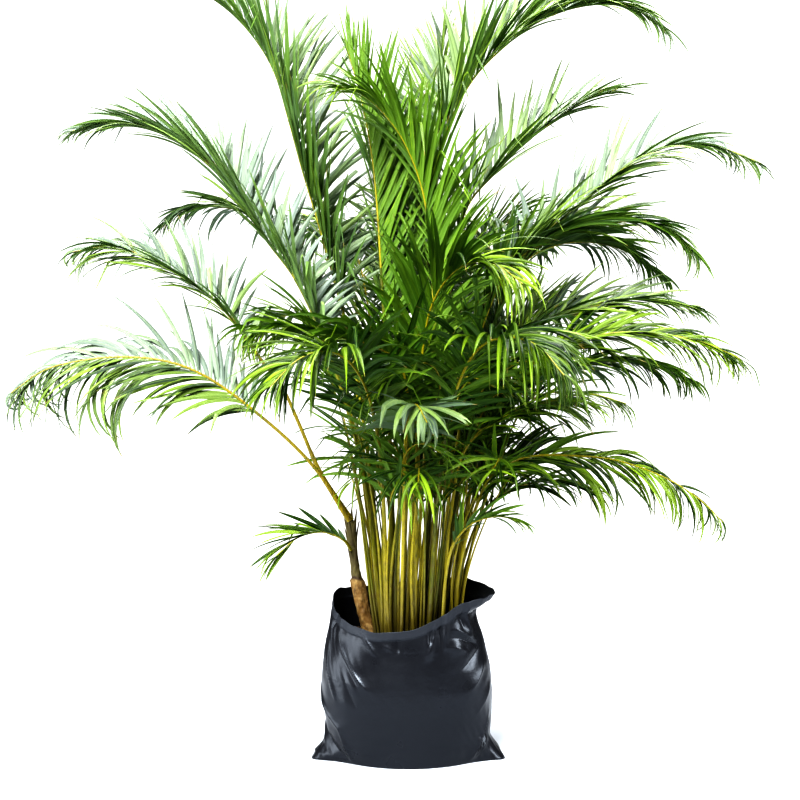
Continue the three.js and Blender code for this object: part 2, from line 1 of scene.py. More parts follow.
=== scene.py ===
# %% [markdown]
# # A potted feather palm
# The plant is a clump of some thirty fronds that rise on thin yellow canes out of a black
# film grow bag. Its plain solids are already modelled at their real size, so this notebook
# only dresses them: each solid gets a finer piece that keeps its place and its form.
# Everything is in metres, +Z is up, and the front of the plant faces -Y.

# %% Load the solids that the finer pieces stand for
import math
import bpy
import numpy as np
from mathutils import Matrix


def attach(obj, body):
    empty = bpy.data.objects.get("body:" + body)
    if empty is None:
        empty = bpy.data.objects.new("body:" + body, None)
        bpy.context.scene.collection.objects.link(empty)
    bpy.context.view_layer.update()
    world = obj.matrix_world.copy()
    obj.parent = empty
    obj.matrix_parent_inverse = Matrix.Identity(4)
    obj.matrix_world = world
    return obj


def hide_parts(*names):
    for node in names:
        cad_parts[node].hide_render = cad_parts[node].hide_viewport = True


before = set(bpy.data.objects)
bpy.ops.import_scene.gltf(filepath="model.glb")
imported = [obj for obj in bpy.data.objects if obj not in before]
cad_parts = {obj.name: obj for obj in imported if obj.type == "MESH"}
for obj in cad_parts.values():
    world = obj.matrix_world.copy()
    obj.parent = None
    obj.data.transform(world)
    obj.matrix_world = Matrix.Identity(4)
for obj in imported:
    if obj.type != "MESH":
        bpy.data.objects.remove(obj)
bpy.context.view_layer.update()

MM = 0.001
UP = np.array([0.0, 0.0, 1.0])

# %% [markdown]
# ## The camera
# The picture was taken level with the middle of the plant from a little over two metres.
# A lens of ordinary length at that distance keeps the near fronds from looming. It is
# worked out from the width that the picture shows at the plant, so it needs no guessing.

# %% A level camera in front of the plant
EYE = np.array([-0.014, -2.1, 0.598])
VIEW_WIDTH = 1.36
SENSOR = 36.0

camera_data = bpy.data.cameras.new("camera")
camera_data.sensor_width = SENSOR
camera_data.lens = SENSOR * abs(EYE[1]) / VIEW_WIDTH
camera = bpy.data.objects.new("camera", camera_data)
camera.location = EYE
camera.rotation_euler = (math.radians(90), 0, 0)
bpy.context.collection.objects.link(camera)
bpy.context.scene.camera = camera
print("lens", round(camera_data.lens, 1), "mm")

# %% [markdown]
# ## Light and floor
# The plant stands in a white studio. A white world fills every shadow a little, and large
# soft lamps give the glossy leaflets and the film bag their streaks of white. The floor
# is a wide pale sheet that runs out of sight, so that it meets the background softly.

# %% The white studio
def soft_lamp(name, place, aim, size, power):
    data = bpy.data.lights.new(name, "AREA")
    data.shape = "RECTANGLE"
    data.size, data.size_y = size
    data.energy = power
    lamp = bpy.data.objects.new(name, data)
    lamp.location = place
    away = np.array(place) - np.array(aim)
    turn = math.atan2(away[0], -away[1])
    tilt = math.atan2(math.hypot(away[0], away[1]), away[2])
    lamp.rotation_euler = (tilt, 0, turn)
    bpy.context.collection.objects.link(lamp)


BACKGROUND = 1.0 # what the camera sees behind the plant
FILL = 0.09 # what lights the plant from all round


def studio_world():
    made = bpy.data.worlds.new("studio")
    made.use_nodes = True
    nodes, links = made.node_tree.nodes, made.node_tree.links
    ray = nodes.new("ShaderNodeLightPath")
    strength = nodes.new("ShaderNodeMapRange")
    strength.inputs["To Min"].default_value = FILL
    strength.inputs["To Max"].default_value = BACKGROUND
    links.new(ray.outputs["Is Camera Ray"], strength.inputs["Value"])
    links.new(strength.outputs[0], nodes["Background"].inputs["Strength"])
    nodes["Background"].inputs["Color"].default_value = (1, 1, 1, 1)
    return made


bpy.context.scene.world = studio_world()
bpy.context.scene.view_settings.view_transform = "Standard"
bpy.context.scene.view_settings.look = "Very High Contrast"

MIDDLE = (0, 0, 0.65)
soft_lamp("key", (-0.9, -2.7, 2.3), MIDDLE, (1.1, 1.1), 225)
soft_lamp("right", (2.4, -0.9, 1.5), MIDDLE, (0.8, 2.0), 75)
soft_lamp("left", (-2.4, -0.6, 0.9), MIDDLE, (1.0, 2.2), 52)
soft_lamp("top", (0.3, 0.9, 3.2), MIDDLE, (2.4, 1.6), 150)

# %% The pale floor
# Its paint gets thinner outwards, so that the floor melts into the white behind it.
FLOOR_SIDE = 8.0
FLOOR_SOLID, FLOOR_GONE = 0.55, 1.7
FLOOR_GREY = (0.56, 0.59, 0.63, 1)


def floor_paint():
    made = bpy.data.materials.new("pale_floor")
    made.use_nodes = True
    nodes, links = made.node_tree.nodes, made.node_tree.links
    place = nodes.new("ShaderNodeTexCoord")
    away = nodes.new("ShaderNodeVectorMath")
    away.operation = "LENGTH"
    paint = nodes.new("ShaderNodeMapRange")
    paint.interpolation_type = "SMOOTHSTEP"
    for slot, value in zip(paint.inputs[1:5], (FLOOR_SOLID, FLOOR_GONE, 1.0, 0.0)):
        slot.default_value = value
    links.new(place.outputs["Object"], away.inputs[0])
    links.new(away.outputs["Value"], paint.inputs["Value"])
    shader = nodes["Principled BSDF"]
    links.new(paint.outputs[0], shader.inputs["Alpha"])
    shader.inputs["Base Color"].default_value = FLOOR_GREY
    shader.inputs["Roughness"].default_value = 0.8
    return made


floor_mesh = bpy.data.meshes.new("floor")
corners = [(x * FLOOR_SIDE / 2, y * FLOOR_SIDE / 2, 0) for x, y in ((-1, -1), (1, -1), (1, 1), (-1, 1))]
floor_mesh.from_pydata(corners, [], [(0, 1, 2, 3)])
floor_mesh.materials.append(floor_paint())
floor = bpy.data.objects.new("floor", floor_mesh)
bpy.context.collection.objects.link(floor)
print("a floor", FLOOR_SIDE, "m wide under", len(bpy.data.lights), "soft lamps")

# %% [markdown]
# ## Sums for node trees
# Both geometry trees and materials are built from small sums: this socket times that one,
# plus a third. Written out as nodes and links they are hard to read. A thin wrapper round
# a socket lets ordinary arithmetic add the node and the links by itself.

# %% A socket that can be added, multiplied and turned
class Field:
    """A number or a vector that nodes work out at every point. Arithmetic on it adds nodes."""

    def __init__(self, tree, socket):
        self.tree = tree
        self.socket = socket
        self.vector = socket.type == "VECTOR"

    def worked(self, operation, *values):
        """The answer of a new node that works on these values."""
        made = self.tree.nodes.new("ShaderNodeVectorMath" if self.vector else "ShaderNodeMath")
        made.operation = operation
        for slot, value in zip(made.inputs, values):
            wire(self.tree, value, slot)
        answer = "Value" if operation in ("DOT_PRODUCT", "LENGTH") else 0
        return Field(self.tree, made.outputs[answer])

    def __mul__(self, other):
        if self.vector:
            scale = {"operation": "SCALE"}
            return Field(self.tree, built(self.tree, "ShaderNodeVectorMath", scale, Vector=self, Scale=other))
        return self.worked("MULTIPLY", self, other)

    def less_from(self, number):
        """number - self"""
        return self.worked("SUBTRACT", number, self)

    def mapped(self, low, high, to_low, to_high, smooth=False):
        """self from low..high to to_low..to_high, and no further"""
        made = self.tree.nodes.new("ShaderNodeMapRange")
        made.interpolation_type = "SMOOTHSTEP" if smooth else "LINEAR"
        for slot, value in zip(made.inputs, (self, low, high, to_low, to_high)):
            wire(self.tree, value, slot)
        return Field(self.tree, made.outputs[0])

    def turned(self, axis, angle):
        kind, turn = "ShaderNodeVectorRotate", {"rotation_type": "AXIS_ANGLE"}
        return Field(self.tree, built(self.tree, kind, turn, Vector=self, Axis=axis, Angle=angle))


# Each of these takes the field itself first, and then what it is given. A field that is over
# another value gives 1, and else 0. What is beyond whole is the part after the point.
SUMS = {
    "__add__": "ADD", "__sub__": "SUBTRACT", "__truediv__": "DIVIDE", "__pow__": "POWER",
    "least": "MINIMUM", "most": "MAXIMUM", "over": "GREATER_THAN", "sin": "SINE", "cos": "COSINE",
    "absolute": "ABSOLUTE", "beyond_whole": "FRACT", "dot": "DOT_PRODUCT", "cross": "CROSS_PRODUCT",
    "unit": "NORMALIZE", "length": "LENGTH",
}
for method, operation in SUMS.items():
    setattr(Field, method, lambda self, *others, operation=operation: self.worked(operation, self, *others))


def wire(tree, value, slot):
    """Give a socket its value: a link from another socket, or a constant."""
    if isinstance(value, Field):
        tree.links.new(value.socket, slot)
    elif isinstance(value, bpy.types.NodeSocket):
        tree.links.new(value, slot)
    else:
        slot.default_value = value


def add_node(tree, kind, settings=None, **inputs):
    """A new node; inputs are given by name with _ for a space."""
    made = tree.nodes.new(kind)
    for key, value in (settings or {}).items():
        setattr(made, key, value)
    for key, value in inputs.items():
        wanted = key.replace("_", " ")
        slot = next(s for s in made.inputs if s.name == wanted and s.enabled)
        wire(tree, value, slot)
    return made


def built(tree, kind, settings=None, **inputs):
    """The first output of a new node."""
    return add_node(tree, kind, settings, **inputs).outputs[0]

# %% [markdown]
# ## How a frond runs
# Each frond rises on one long bend, like a fishing rod with a fish on it. Nearly all of them
# stand in the soil; three grow from an old cane.
# The points that shaped the solids are repeated here, so that the finer fronds lie exactly
# over them. They are written as seen from the front, and each one is carried out to its own
# depth along the line of sight. A smooth curve through them gives the rib.

# %% The fronds, in millimetres
# foot, perch, start: where the frond begins. bare: share of the line without leaflets.
# pairs: pairs of leaflets that its solid has. shoot: it is one piece with its own short stalk.
# leaf: longest leaflet. fold: how far each row is raised. roll: turn of the blade about its
# rib. droop: fall of a leaflet's tip. age_and_shade: about 0 for the youngest, brightest green, 1 for
# the oldest; it is partly age and partly painted shade, and the blade tree lowers it on the near row
# as painted light. wax_and_sheen: how much pale grey the row of leaflets on its far side shows, partly
# wax and partly a painted sheen. near: how many more degrees the row on its near side is raised than
# its fold says. short: how much shorter and limper the far row is. dense, wide: the number and the
# width of its leaflets, against the usual.
USUAL = dict(bare=0.55, fold=20, roll=0, droop=0.4, wax_and_sheen=0.0, near=22, short=0.04, dense=1.0, wide=1.0,
             shoot=False)
FRONDS = [USUAL | row for row in [
    dict(name="tall_left", foot=(-46, 26), bare=0.56, pairs=17, leaf=190, fold=35, roll=35, droop=0.25,
         age_and_shade=0.25, wax_and_sheen=0.65, dense=1.25,
         line=[(-62, 22, 450), (-100, 28, 700), (-150, 25, 890), (-180, 20, 990), (-202, 15, 1070),
               (-228, 10, 1156), (-258, 0, 1208), (-300, -10, 1255), (-350, -20, 1290), (-415, -30, 1312)]),
    dict(name="arch_left", foot=(-46, -27), bare=0.56, pairs=17, leaf=165, fold=38, roll=34, droop=0.3,
         age_and_shade=0.2, wax_and_sheen=1.0, short=0.2, dense=1.35,
         line=[(-72, -15, 450), (-125, -15, 650), (-190, -15, 800), (-240, -15, 868), (-310, -20, 966),
               (-350, -22, 1006), (-400, -25, 1041), (-450, -28, 1061), (-500, -30, 1066),
               (-570, -35, 1056)]),
    dict(name="back_left", foot=(-45, 45), bare=0.66, pairs=12, leaf=120, fold=15, age_and_shade=0.7, wax_and_sheen=0.8,
         dense=1.2,
         line=[(-70, 90, 450), (-130, 110, 680), (-200, 120, 840), (-265, 130, 911), (-320, 140, 926),
               (-380, 150, 922), (-425, 155, 890)]),
    dict(name="side_left", perch=(-96, 4), bare=0.5, pairs=14, leaf=150, fold=30, roll=30, droop=0.45,
         age_and_shade=0.65, wax_and_sheen=0.6, near=4, short=0.2,
         line=[(-150, 10, 476), (-185, 10, 556), (-215, 5, 621), (-250, 0, 666), (-300, 0, 736),
               (-340, -5, 776), (-400, -10, 816), (-450, -10, 841), (-500, -15, 860), (-570, -20, 850)]),
    dict(name="far_left", perch=(-100, -12), bare=0.36, pairs=17, leaf=185, fold=28, roll=32, droop=0.6,
         age_and_shade=0.8, wax_and_sheen=0.75, near=-28, short=0.2, dense=1.1,
         line=[(-150, -20, 471), (-200, -25, 526), (-270, -30, 586), (-310, -35, 616), (-350, -40, 641),
               (-400, -45, 661), (-470, -50, 671), (-550, -55, 666), (-620, -60, 648), (-675, -65, 610)]),
    dict(name="low_back_left", foot=(-38, 72), pairs=13, leaf=170, age_and_shade=0.9,
         line=[(-60, 120, 420), (-100, 190, 600), (-150, 270, 712), (-212, 350, 742), (-275, 412, 700)]),
    dict(name="front_left", foot=(-36, -62), pairs=14, leaf=170, droop=0.45, age_and_shade=0.7,
         line=[(-42, -115, 420), (-56, -180, 560), (-86, -260, 645), (-130, -340, 680), (-185, -415, 668),
               (-235, -480, 620)]),
    dict(name="spear_left", foot=(-30, -6), bare=0.62, pairs=12, leaf=200, fold=30, droop=0.1, age_and_shade=-0.05,
         wax_and_sheen=0.15, dense=1.4,
         line=[(-30, -12, 500), (-45, -20, 800), (-60, -28, 1000), (-80, -36, 1110), (-105, -45, 1200)]),
    dict(name="facing_left", foot=(-14, -42), bare=0.52, pairs=14, leaf=150, roll=-10, droop=0.5, age_and_shade=0.4,
         line=[(-2, -90, 450), (0, -140, 590), (-15, -180, 660), (-60, -220, 690), (-120, -265, 706),
               (-200, -310, 722), (-290, -350, 722)]),
    dict(name="facing_middle", foot=(-12, -80), bare=0.66, pairs=9, leaf=100, fold=10, droop=0.5, age_and_shade=0.75,
         wax_and_sheen=0.4, dense=0.55, wide=1.7, shoot=True,
         line=[(-8, -140, 400), (-5, -180, 520), (0, -230, 575), (14, -290, 590), (32, -350, 560)]),
    dict(name="back_middle_left", foot=(-18, 68), pairs=14, leaf=180, age_and_shade=0.8, wax_and_sheen=0.25,
         line=[(-35, 140, 450), (-60, 210, 700), (-90, 290, 850), (-130, 380, 900), (-180, 460, 870)]),
    dict(name="spear_middle", foot=(-5, 38), bare=0.62, pairs=10, leaf=190, fold=35, droop=0.1, age_and_shade=0.2,
         wax_and_sheen=0.35, dense=1.4,
         line=[(12, 80, 500), (26, 110, 800), (38, 125, 1000), (48, 135, 1100), (60, 150, 1220)]),
    dict(name="crown", foot=(4, -20), bare=0.56, pairs=15, leaf=190, roll=24, droop=0.35, age_and_shade=-0.02,
         wax_and_sheen=0.05, dense=1.35, wide=0.85,
         line=[(28, -40, 500), (42, -55, 750), (38, -75, 866), (20, -100, 970), (-18, -130, 1055),
               (-75, -165, 1115), (-130, -200, 1135)]),
    dict(name="tall_right", foot=(22, 10), bare=0.6, pairs=17, leaf=180, fold=34, roll=-36, droop=0.35,
         age_and_shade=0.15, wax_and_sheen=0.5, dense=1.2,
         line=[(42, 20, 500), (45, 22, 800), (52, 15, 1000), (78, 10, 1086), (112, 5, 1146), (160, 0, 1196),
               (220, -5, 1240), (290, -10, 1266), (370, -15, 1268), (430, -20, 1235)]),
    dict(name="facing_low", foot=(10, -62), pairs=14, leaf=180, roll=-20, droop=0.45, age_and_shade=0.35,
         line=[(14, -105, 450), (20, -150, 640), (42, -200, 765), (90, -255, 825), (145, -310, 830),
               (195, -360, 795)]),
    dict(name="back_middle", foot=(5, 74), pairs=14, leaf=180, age_and_shade=0.85,
         line=[(8, 135, 450), (8, 235, 720), (4, 350, 870), (0, 460, 910), (-5, 550, 860)]),
    dict(name="back_right", foot=(28, 72), pairs=14, leaf=180, age_and_shade=0.9,
         line=[(50, 130, 450), (80, 190, 700), (120, 250, 850), (170, 320, 900), (230, 390, 870)]),
    dict(name="front_right", foot=(33, -62), pairs=14, leaf=170, droop=0.45, age_and_shade=0.8,
         line=[(50, -115, 430), (74, -180, 590), (115, -260, 680), (165, -340, 705), (220, -420, 690),
               (265, -490, 640)]),
    dict(name="high_right", foot=(35, 38), bare=0.6, pairs=14, leaf=160, fold=28, roll=-30, droop=0.25,
         age_and_shade=0.45, wax_and_sheen=0.6,
         line=[(52, 60, 500), (74, 70, 800), (100, 75, 926), (150, 80, 986), (200, 85, 1036),
               (250, 85, 1076), (300, 85, 1106), (365, 85, 1130)]),
    dict(name="arch_right", foot=(50, 4), bare=0.52, pairs=17, leaf=155, fold=30, roll=-35, age_and_shade=0.3,
         wax_and_sheen=0.8, near=14, short=0.2,
         line=[(84, -5, 450), (140, -10, 720), (215, -15, 862), (260, -18, 905), (300, -20, 936),
               (350, -22, 980), (400, -25, 1012), (450, -25, 1030), (520, -30, 1030), (600, -35, 1000)]),
    dict(name="side_right", foot=(46, -30), bare=0.52, pairs=14, leaf=160, fold=25, roll=-25, age_and_shade=0.65,
         wax_and_sheen=0.25, dense=1.45,
         line=[(72, -40, 450), (125, -50, 720), (180, -60, 832), (230, -65, 864), (300, -70, 891),
               (360, -75, 901), (430, -80, 892), (485, -85, 851)]),
    dict(name="side_back_right", foot=(52, 60), bare=0.56, pairs=13, leaf=140, age_and_shade=0.8, wax_and_sheen=0.3,
         dense=1.5,
         line=[(82, 90, 450), (140, 110, 720), (195, 130, 830), (250, 140, 861), (310, 150, 866),
               (370, 155, 851), (435, 160, 806)]),
    dict(name="mid_right", foot=(70, 22), bare=0.45, pairs=14, leaf=150, fold=30, roll=-20, droop=0.3,
         age_and_shade=0.6, wax_and_sheen=0.25, near=-6, dense=1.45,
         line=[(98, 30, 400), (140, 35, 600), (180, 40, 694), (250, 40, 738), (330, 40, 760),
               (400, 40, 770), (490, 40, 756)]),
    dict(name="mid_front_right", foot=(72, -12), bare=0.45, pairs=14, leaf=150, fold=25, roll=-20, age_and_shade=0.6,
         near=-12, dense=1.4,
         line=[(104, -30, 400), (152, -40, 580), (210, -50, 656), (280, -55, 695), (350, -60, 712),
               (420, -65, 712), (500, -70, 696), (565, -75, 668)]),
    dict(name="mid_back_right", foot=(66, 46), bare=0.45, pairs=13, leaf=150, age_and_shade=0.85, dense=1.5,
         line=[(96, 82, 400), (136, 98, 550), (200, 105, 615), (280, 115, 650), (360, 120, 664),
               (430, 125, 655), (480, 130, 632)]),
    dict(name="low_back_right", foot=(42, 70), bare=0.5, pairs=13, leaf=170, age_and_shade=0.95, dense=1.4,
         line=[(70, 104, 400), (118, 180, 610), (180, 260, 720), (250, 330, 745), (320, 390, 700)]),
    dict(name="low_right", foot=(79, -40), bare=0.42, pairs=14, leaf=130, roll=-20, droop=0.5, age_and_shade=0.7,
         near=-32, dense=0.75,
         line=[(84, -45, 296), (112, -55, 406), (145, -62, 472), (200, -68, 500), (300, -72, 502),
               (350, -74, 496), (400, -77, 481), (450, -80, 459), (500, -82, 425), (535, -85, 390)]),
    dict(name="fan_right", foot=(56, -62), bare=0.5, pairs=11, leaf=120, age_and_shade=0.45, near=-20, shoot=True,
         line=[(72, -85, 400), (100, -105, 520), (170, -125, 572), (250, -140, 598), (310, -150, 608),
               (370, -155, 592)]),
    dict(name="shoot_right", foot=(76, 66), bare=0.5, pairs=7, leaf=110, age_and_shade=0.8, near=-20, wide=1.3,
         shoot=True,
         line=[(96, 72, 330), (124, 66, 400), (162, 62, 440), (215, 60, 458), (270, 58, 460),
               (330, 56, 442)]),
    dict(name="shoot_front", foot=(54, -80), pairs=5, leaf=80, fold=10, age_and_shade=0.7, shoot=True,
         line=[(64, -90, 300), (78, -104, 355), (108, -118, 388), (150, -128, 400), (192, -138, 392)]),
    dict(name="shoot_left", start=(-96.6, -15.6, 345), bare=0.25, pairs=6, leaf=115, fold=10, droop=0.15,
         age_and_shade=0.6, near=10, dense=0.6, wide=1.5, shoot=True,
         line=[(-112, -48, 362), (-145, -62, 374), (-188, -76, 364), (-222, -86, 334)]),
]]
print(len(FRONDS), "fronds")

# %% A smooth line through a frond's points
SOIL_TOP = 0.205
FOOT_HEIGHT = 0.212 # a frond's line starts here, over the hole that it stands in
SUNK_HEIGHT = 0.15 # and its foot reaches down to here
CANE_TOP = 0.3933
LAST_PAIR = 0.97
LINE_STEPS = 40 # between two of the points


def seen(point):
    """A point written as seen from the front, carried out to its own depth."""
    x, y, z = (v * MM for v in point)
    return (np.array([x, 0, z]) - EYE) * (1 - y / EYE[1]) + EYE


def beginning(frond):
    if "foot" in frond:
        return np.array([frond["foot"][0] * MM, frond["foot"][1] * MM, FOOT_HEIGHT])
    if "perch" in frond:
        return np.array([frond["perch"][0] * MM, frond["perch"][1] * MM, CANE_TOP])
    return np.array(frond["start"]) * MM


def bend_between(p0, p1, p2, p3, steps):
    """One stretch of a centripetal Catmull-Rom curve, from p1 to p2."""
    t0, t1, t2 = (np.sum((b - a) ** 2) ** 0.25 for a, b in ((p0, p1), (p1, p2), (p2, p3)))
    leave = ((p1 - p0) / t0 - (p2 - p0) / (t0 + t1) + (p2 - p1) / t1) * t1
    reach = ((p2 - p1) / t1 - (p3 - p1) / (t1 + t2) + (p3 - p2) / t2) * t1
    t = np.linspace(0, 1, steps, endpoint=False)[:, None]
    cubic = (2 * p1 - 2 * p2 + leave + reach) * t**3 + (-3 * p1 + 3 * p2 - 2 * leave - reach) * t**2
    return cubic + leave * t + p1


class Line:
    """A frond's line, which gives its place and its frame at any share of its length."""

    def __init__(self, frond):
        points = [beginning(frond)] + [seen(p) for p in frond["line"]]
        ends = [2 * points[0] - points[1], *points, 2 * points[-1] - points[-2]]
        stretches = [bend_between(*ends[i : i + 4], LINE_STEPS) for i in range(len(points) - 1)]
        self.points = np.vstack([*stretches, points[-1]])
        gone = np.cumsum(np.linalg.norm(np.diff(self.points, axis=0), axis=1))
        self.length = gone[-1]
        self.shares = np.concatenate([[0], gone]) / self.length
        ahead = (points[-1] - points[0]) * (1, 1, 0)
        ahead /= np.linalg.norm(ahead)
        self.right = np.array([ahead[1], -ahead[0], 0])
        self.roll = math.radians(frond["roll"])

    def at(self, u):
        return np.array([np.interp(u, self.shares, self.points[:, i]) for i in range(3)])

    def frame(self, u, roll=True):
        step = 0.004
        along = self.at(min(u + step, 1)) - self.at(max(u - step, 0))
        along /= np.linalg.norm(along)
        side = self.right - along * (self.right @ along)
        side /= np.linalg.norm(side)
        up = np.cross(side, along)
        turn = self.roll if roll else 0
        return side * math.cos(turn) + up * math.sin(turn), up * math.cos(turn) - side * math.sin(turn)


lines = {frond["name"]: Line(frond) for frond in FRONDS}
print("the longest frond is", round(max(line.length for line in lines.values()), 2), "m")

# %% A path that a tree of nodes can follow
def keep_at_points(mesh, key, values, kind="FLOAT"):
    """Store a number at each point, or a vector."""
    data = mesh.attributes.new(key, kind, "POINT").data
    data.foreach_set("value" if kind == "FLOAT" else "vector", np.array(values, dtype=np.float32).ravel())


def path_object(name, points, vectors, numbers, breaks=()):
    """Chains of points with a vector or a number stored at each; a new chain starts at each break."""
    mesh = bpy.data.meshes.new(name)
    links = [(i, i + 1) for i in range(len(points) - 1) if i + 1 not in breaks]
    mesh.from_pydata([tuple(p) for p in points], links, [])
    for key, values in vectors.items():
        keep_at_points(mesh, key, values, "FLOAT_VECTOR")
    for key, values in numbers.items():
        keep_at_points(mesh, key, values)
    made = bpy.data.objects.new(name, mesh)
    bpy.context.collection.objects.link(made)
    return made


def grown(host, tree, inputs):
    """Run a tree on an object, keep the result as a plain mesh, and drop the modifier."""
    modifier = host.modifiers.new("grow", "NODES")
    modifier.node_group = tree
    sockets = {item.name: item.identifier for item in tree.interface.items_tree}
    for key, value in inputs.items():
        modifier[sockets[key]] = value
    host.update_tag()
    graph = bpy.context.evaluated_depsgraph_get()
    made = bpy.data.meshes.new_from_object(host.evaluated_get(graph), depsgraph=graph)
    host.modifiers.remove(modifier)
    old = host.data
    host.data = made
    bpy.data.meshes.remove(old)
    made.name = host.name
    return host


def new_tree(name, numbers, counts, finishes):
    """An empty geometry tree. Its inputs are numbers and whole numbers with defaults, and materials."""
    tree = bpy.data.node_groups.new(name, "GeometryNodeTree")
    wanted = [("Geometry", "INPUT", "Geometry", None), ("Geometry", "OUTPUT", "Geometry", None)]
    wanted += [(key, "INPUT", "Float", default) for key, default in numbers.items()]
    wanted += [(key, "INPUT", "Int", default) for key, default in counts.items()]
    wanted += [(key, "INPUT", "Material", None) for key in finishes]
    for key, way, kind, default in wanted:
        made = tree.interface.new_socket(name=key, in_out=way, socket_type="NodeSocket" + kind)
        if default is not None:
            made.default_value = default
    return tree, tree.nodes.new("NodeGroupInput"), tree.nodes.new("NodeGroupOutput")

# %% Small helpers for geometry trees
def stored(tree, key, kind="FLOAT"):
    return Field(tree, built(tree, "GeometryNodeInputNamedAttribute", {"data_type": kind}, Name=key))


def store(tree, geometry, key, value, domain="POINT"):
    kind = "FLOAT_VECTOR" if value.vector else "FLOAT"
    settings = {"data_type": kind, "domain": domain}
    return built(tree, "GeometryNodeStoreNamedAttribute", settings, Geometry=geometry, Name=key, Value=value)


def random_value(tree, kind, low, high, seed):
    made = add_node(tree, "FunctionNodeRandomValue", {"data_type": kind}, Min=low, Max=high, Seed=seed)
    return Field(tree, next(s for s in made.outputs if s.enabled))


def chance(tree, seed, low, high, offset):
    """A random number for each point, the same in every run."""
    return random_value(tree, "FLOAT", low, high, Field(tree, seed) + offset)


def coated(tree, geometry, finish):
    return built(tree, "GeometryNodeSetMaterial", Geometry=geometry, Material=finish)


def joined(tree, *parts):
    """Several geometries as one."""
    made = tree.nodes.new("GeometryNodeJoinGeometry")
    for part in parts:
        wire(tree, part, made.inputs[0])
    return made.outputs[0]


def pipe(tree, curve, radius, sides):
    """A round pipe along a curve, closed at both ends."""
    thick = built(tree, "GeometryNodeSetCurveRadius", Curve=curve, Radius=radius)
    circle = built(tree, "GeometryNodeCurvePrimitiveCircle", Resolution=sides, Radius=1.0)
    made = tree.nodes.new("GeometryNodeCurveToMesh")
    made.inputs["Fill Caps"].default_value = True
    size = built(tree, "GeometryNodeInputRadius")
    for key, value in {"Curve": thick, "Profile Curve": circle, "Scale": size}.items():
        wire(tree, value, made.inputs[key])
    return made.outputs["Mesh"]

# %% [markdown]
# ## The finish of a leaflet
# A palm leaflet is a stiff strap with a waxy skin. From above it is a clear green that
# gets darker on old fronds, with a paler midrib and fine veins along it. From below it
# is a duller green. On some fronds the row of leaflets on the far side is greyed, partly by wax and
# partly by a painted sheen, and the row on the near side is painted a brighter green as painted
# light. Thin leaflets let some light through, which makes the inside of the crown glow. The tree
# that grows them leaves numbers on each leaflet to tell the material where it is: how far along,
# how far across, which face, and how old and how shaded.

# %% Small helpers for materials
def new_material(name):
    made = bpy.data.materials.new(name)
    made.use_nodes = True
    tree = made.node_tree
    shader = tree.nodes["Principled BSDF"]
    return made, tree, shader


def attribute(tree, key):
    made = tree.nodes.new("ShaderNodeAttribute")
    made.attribute_name = key
    return Field(tree, made.outputs["Fac"])


def object_place(tree, scale=(1, 1, 1)):
    """The place on the piece, stretched to suit a pattern."""
    coordinates = tree.nodes.new("ShaderNodeTexCoord")
    return built(tree, "ShaderNodeMapping", Vector=coordinates.outputs["Object"], Scale=scale)


def noise(tree, place, scale, detail=2.0, rough=0.5):
    made = built(tree, "ShaderNodeTexNoise", Vector=place, Scale=scale, Detail=detail, Roughness=rough)
    return Field(tree, made)


def blend_colours(tree, share, first, second):
    made = tree.nodes.new("ShaderNodeMix")
    made.data_type = "RGBA"
    wire(tree, share, made.inputs["Factor"])
    a, b = (s for s in made.inputs if s.name in "AB" and s.type == "RGBA")
    wire(tree, first, a)
    wire(tree, second, b)
    return next(s for s in made.outputs if s.type == "RGBA")


def bumped(tree, height, strength, distance, **below):
    return built(tree, "ShaderNodeBump", Height=height, Strength=strength, Distance=distance, **below)


def coat(tree, shader, colour, roughness, normal):
    """Give a shader its colour, its roughness and its small relief."""
    for key, value in {"Base Color": colour, "Roughness": roughness, "Normal": normal}.items():
        wire(tree, value, shader.inputs[key])

# %% The leaflet material
# The greens of young and old leaflets, which also carry painted light and painted shade; the pale grey is wax
# with a painted sheen.
YOUNG_AND_LIT_GREEN = (0.22, 0.34, 0.022, 1)
OLD_AND_SHADED_GREEN = (0.004, 0.026, 0.001, 1)
UNDERSIDE = (0.055, 0.14, 0.012, 1)
MIDRIB_GREEN = (0.34, 0.48, 0.10, 1)
WAX_AND_SHEEN = (0.29, 0.35, 0.31, 1)
DRY_TIP = (0.30, 0.19, 0.05, 1)
GLOW = (0.26, 0.46, 0.03, 1)
GLOW_SHARE = 0.16 # the light that a leaflet lets through
VEINS = 58.0


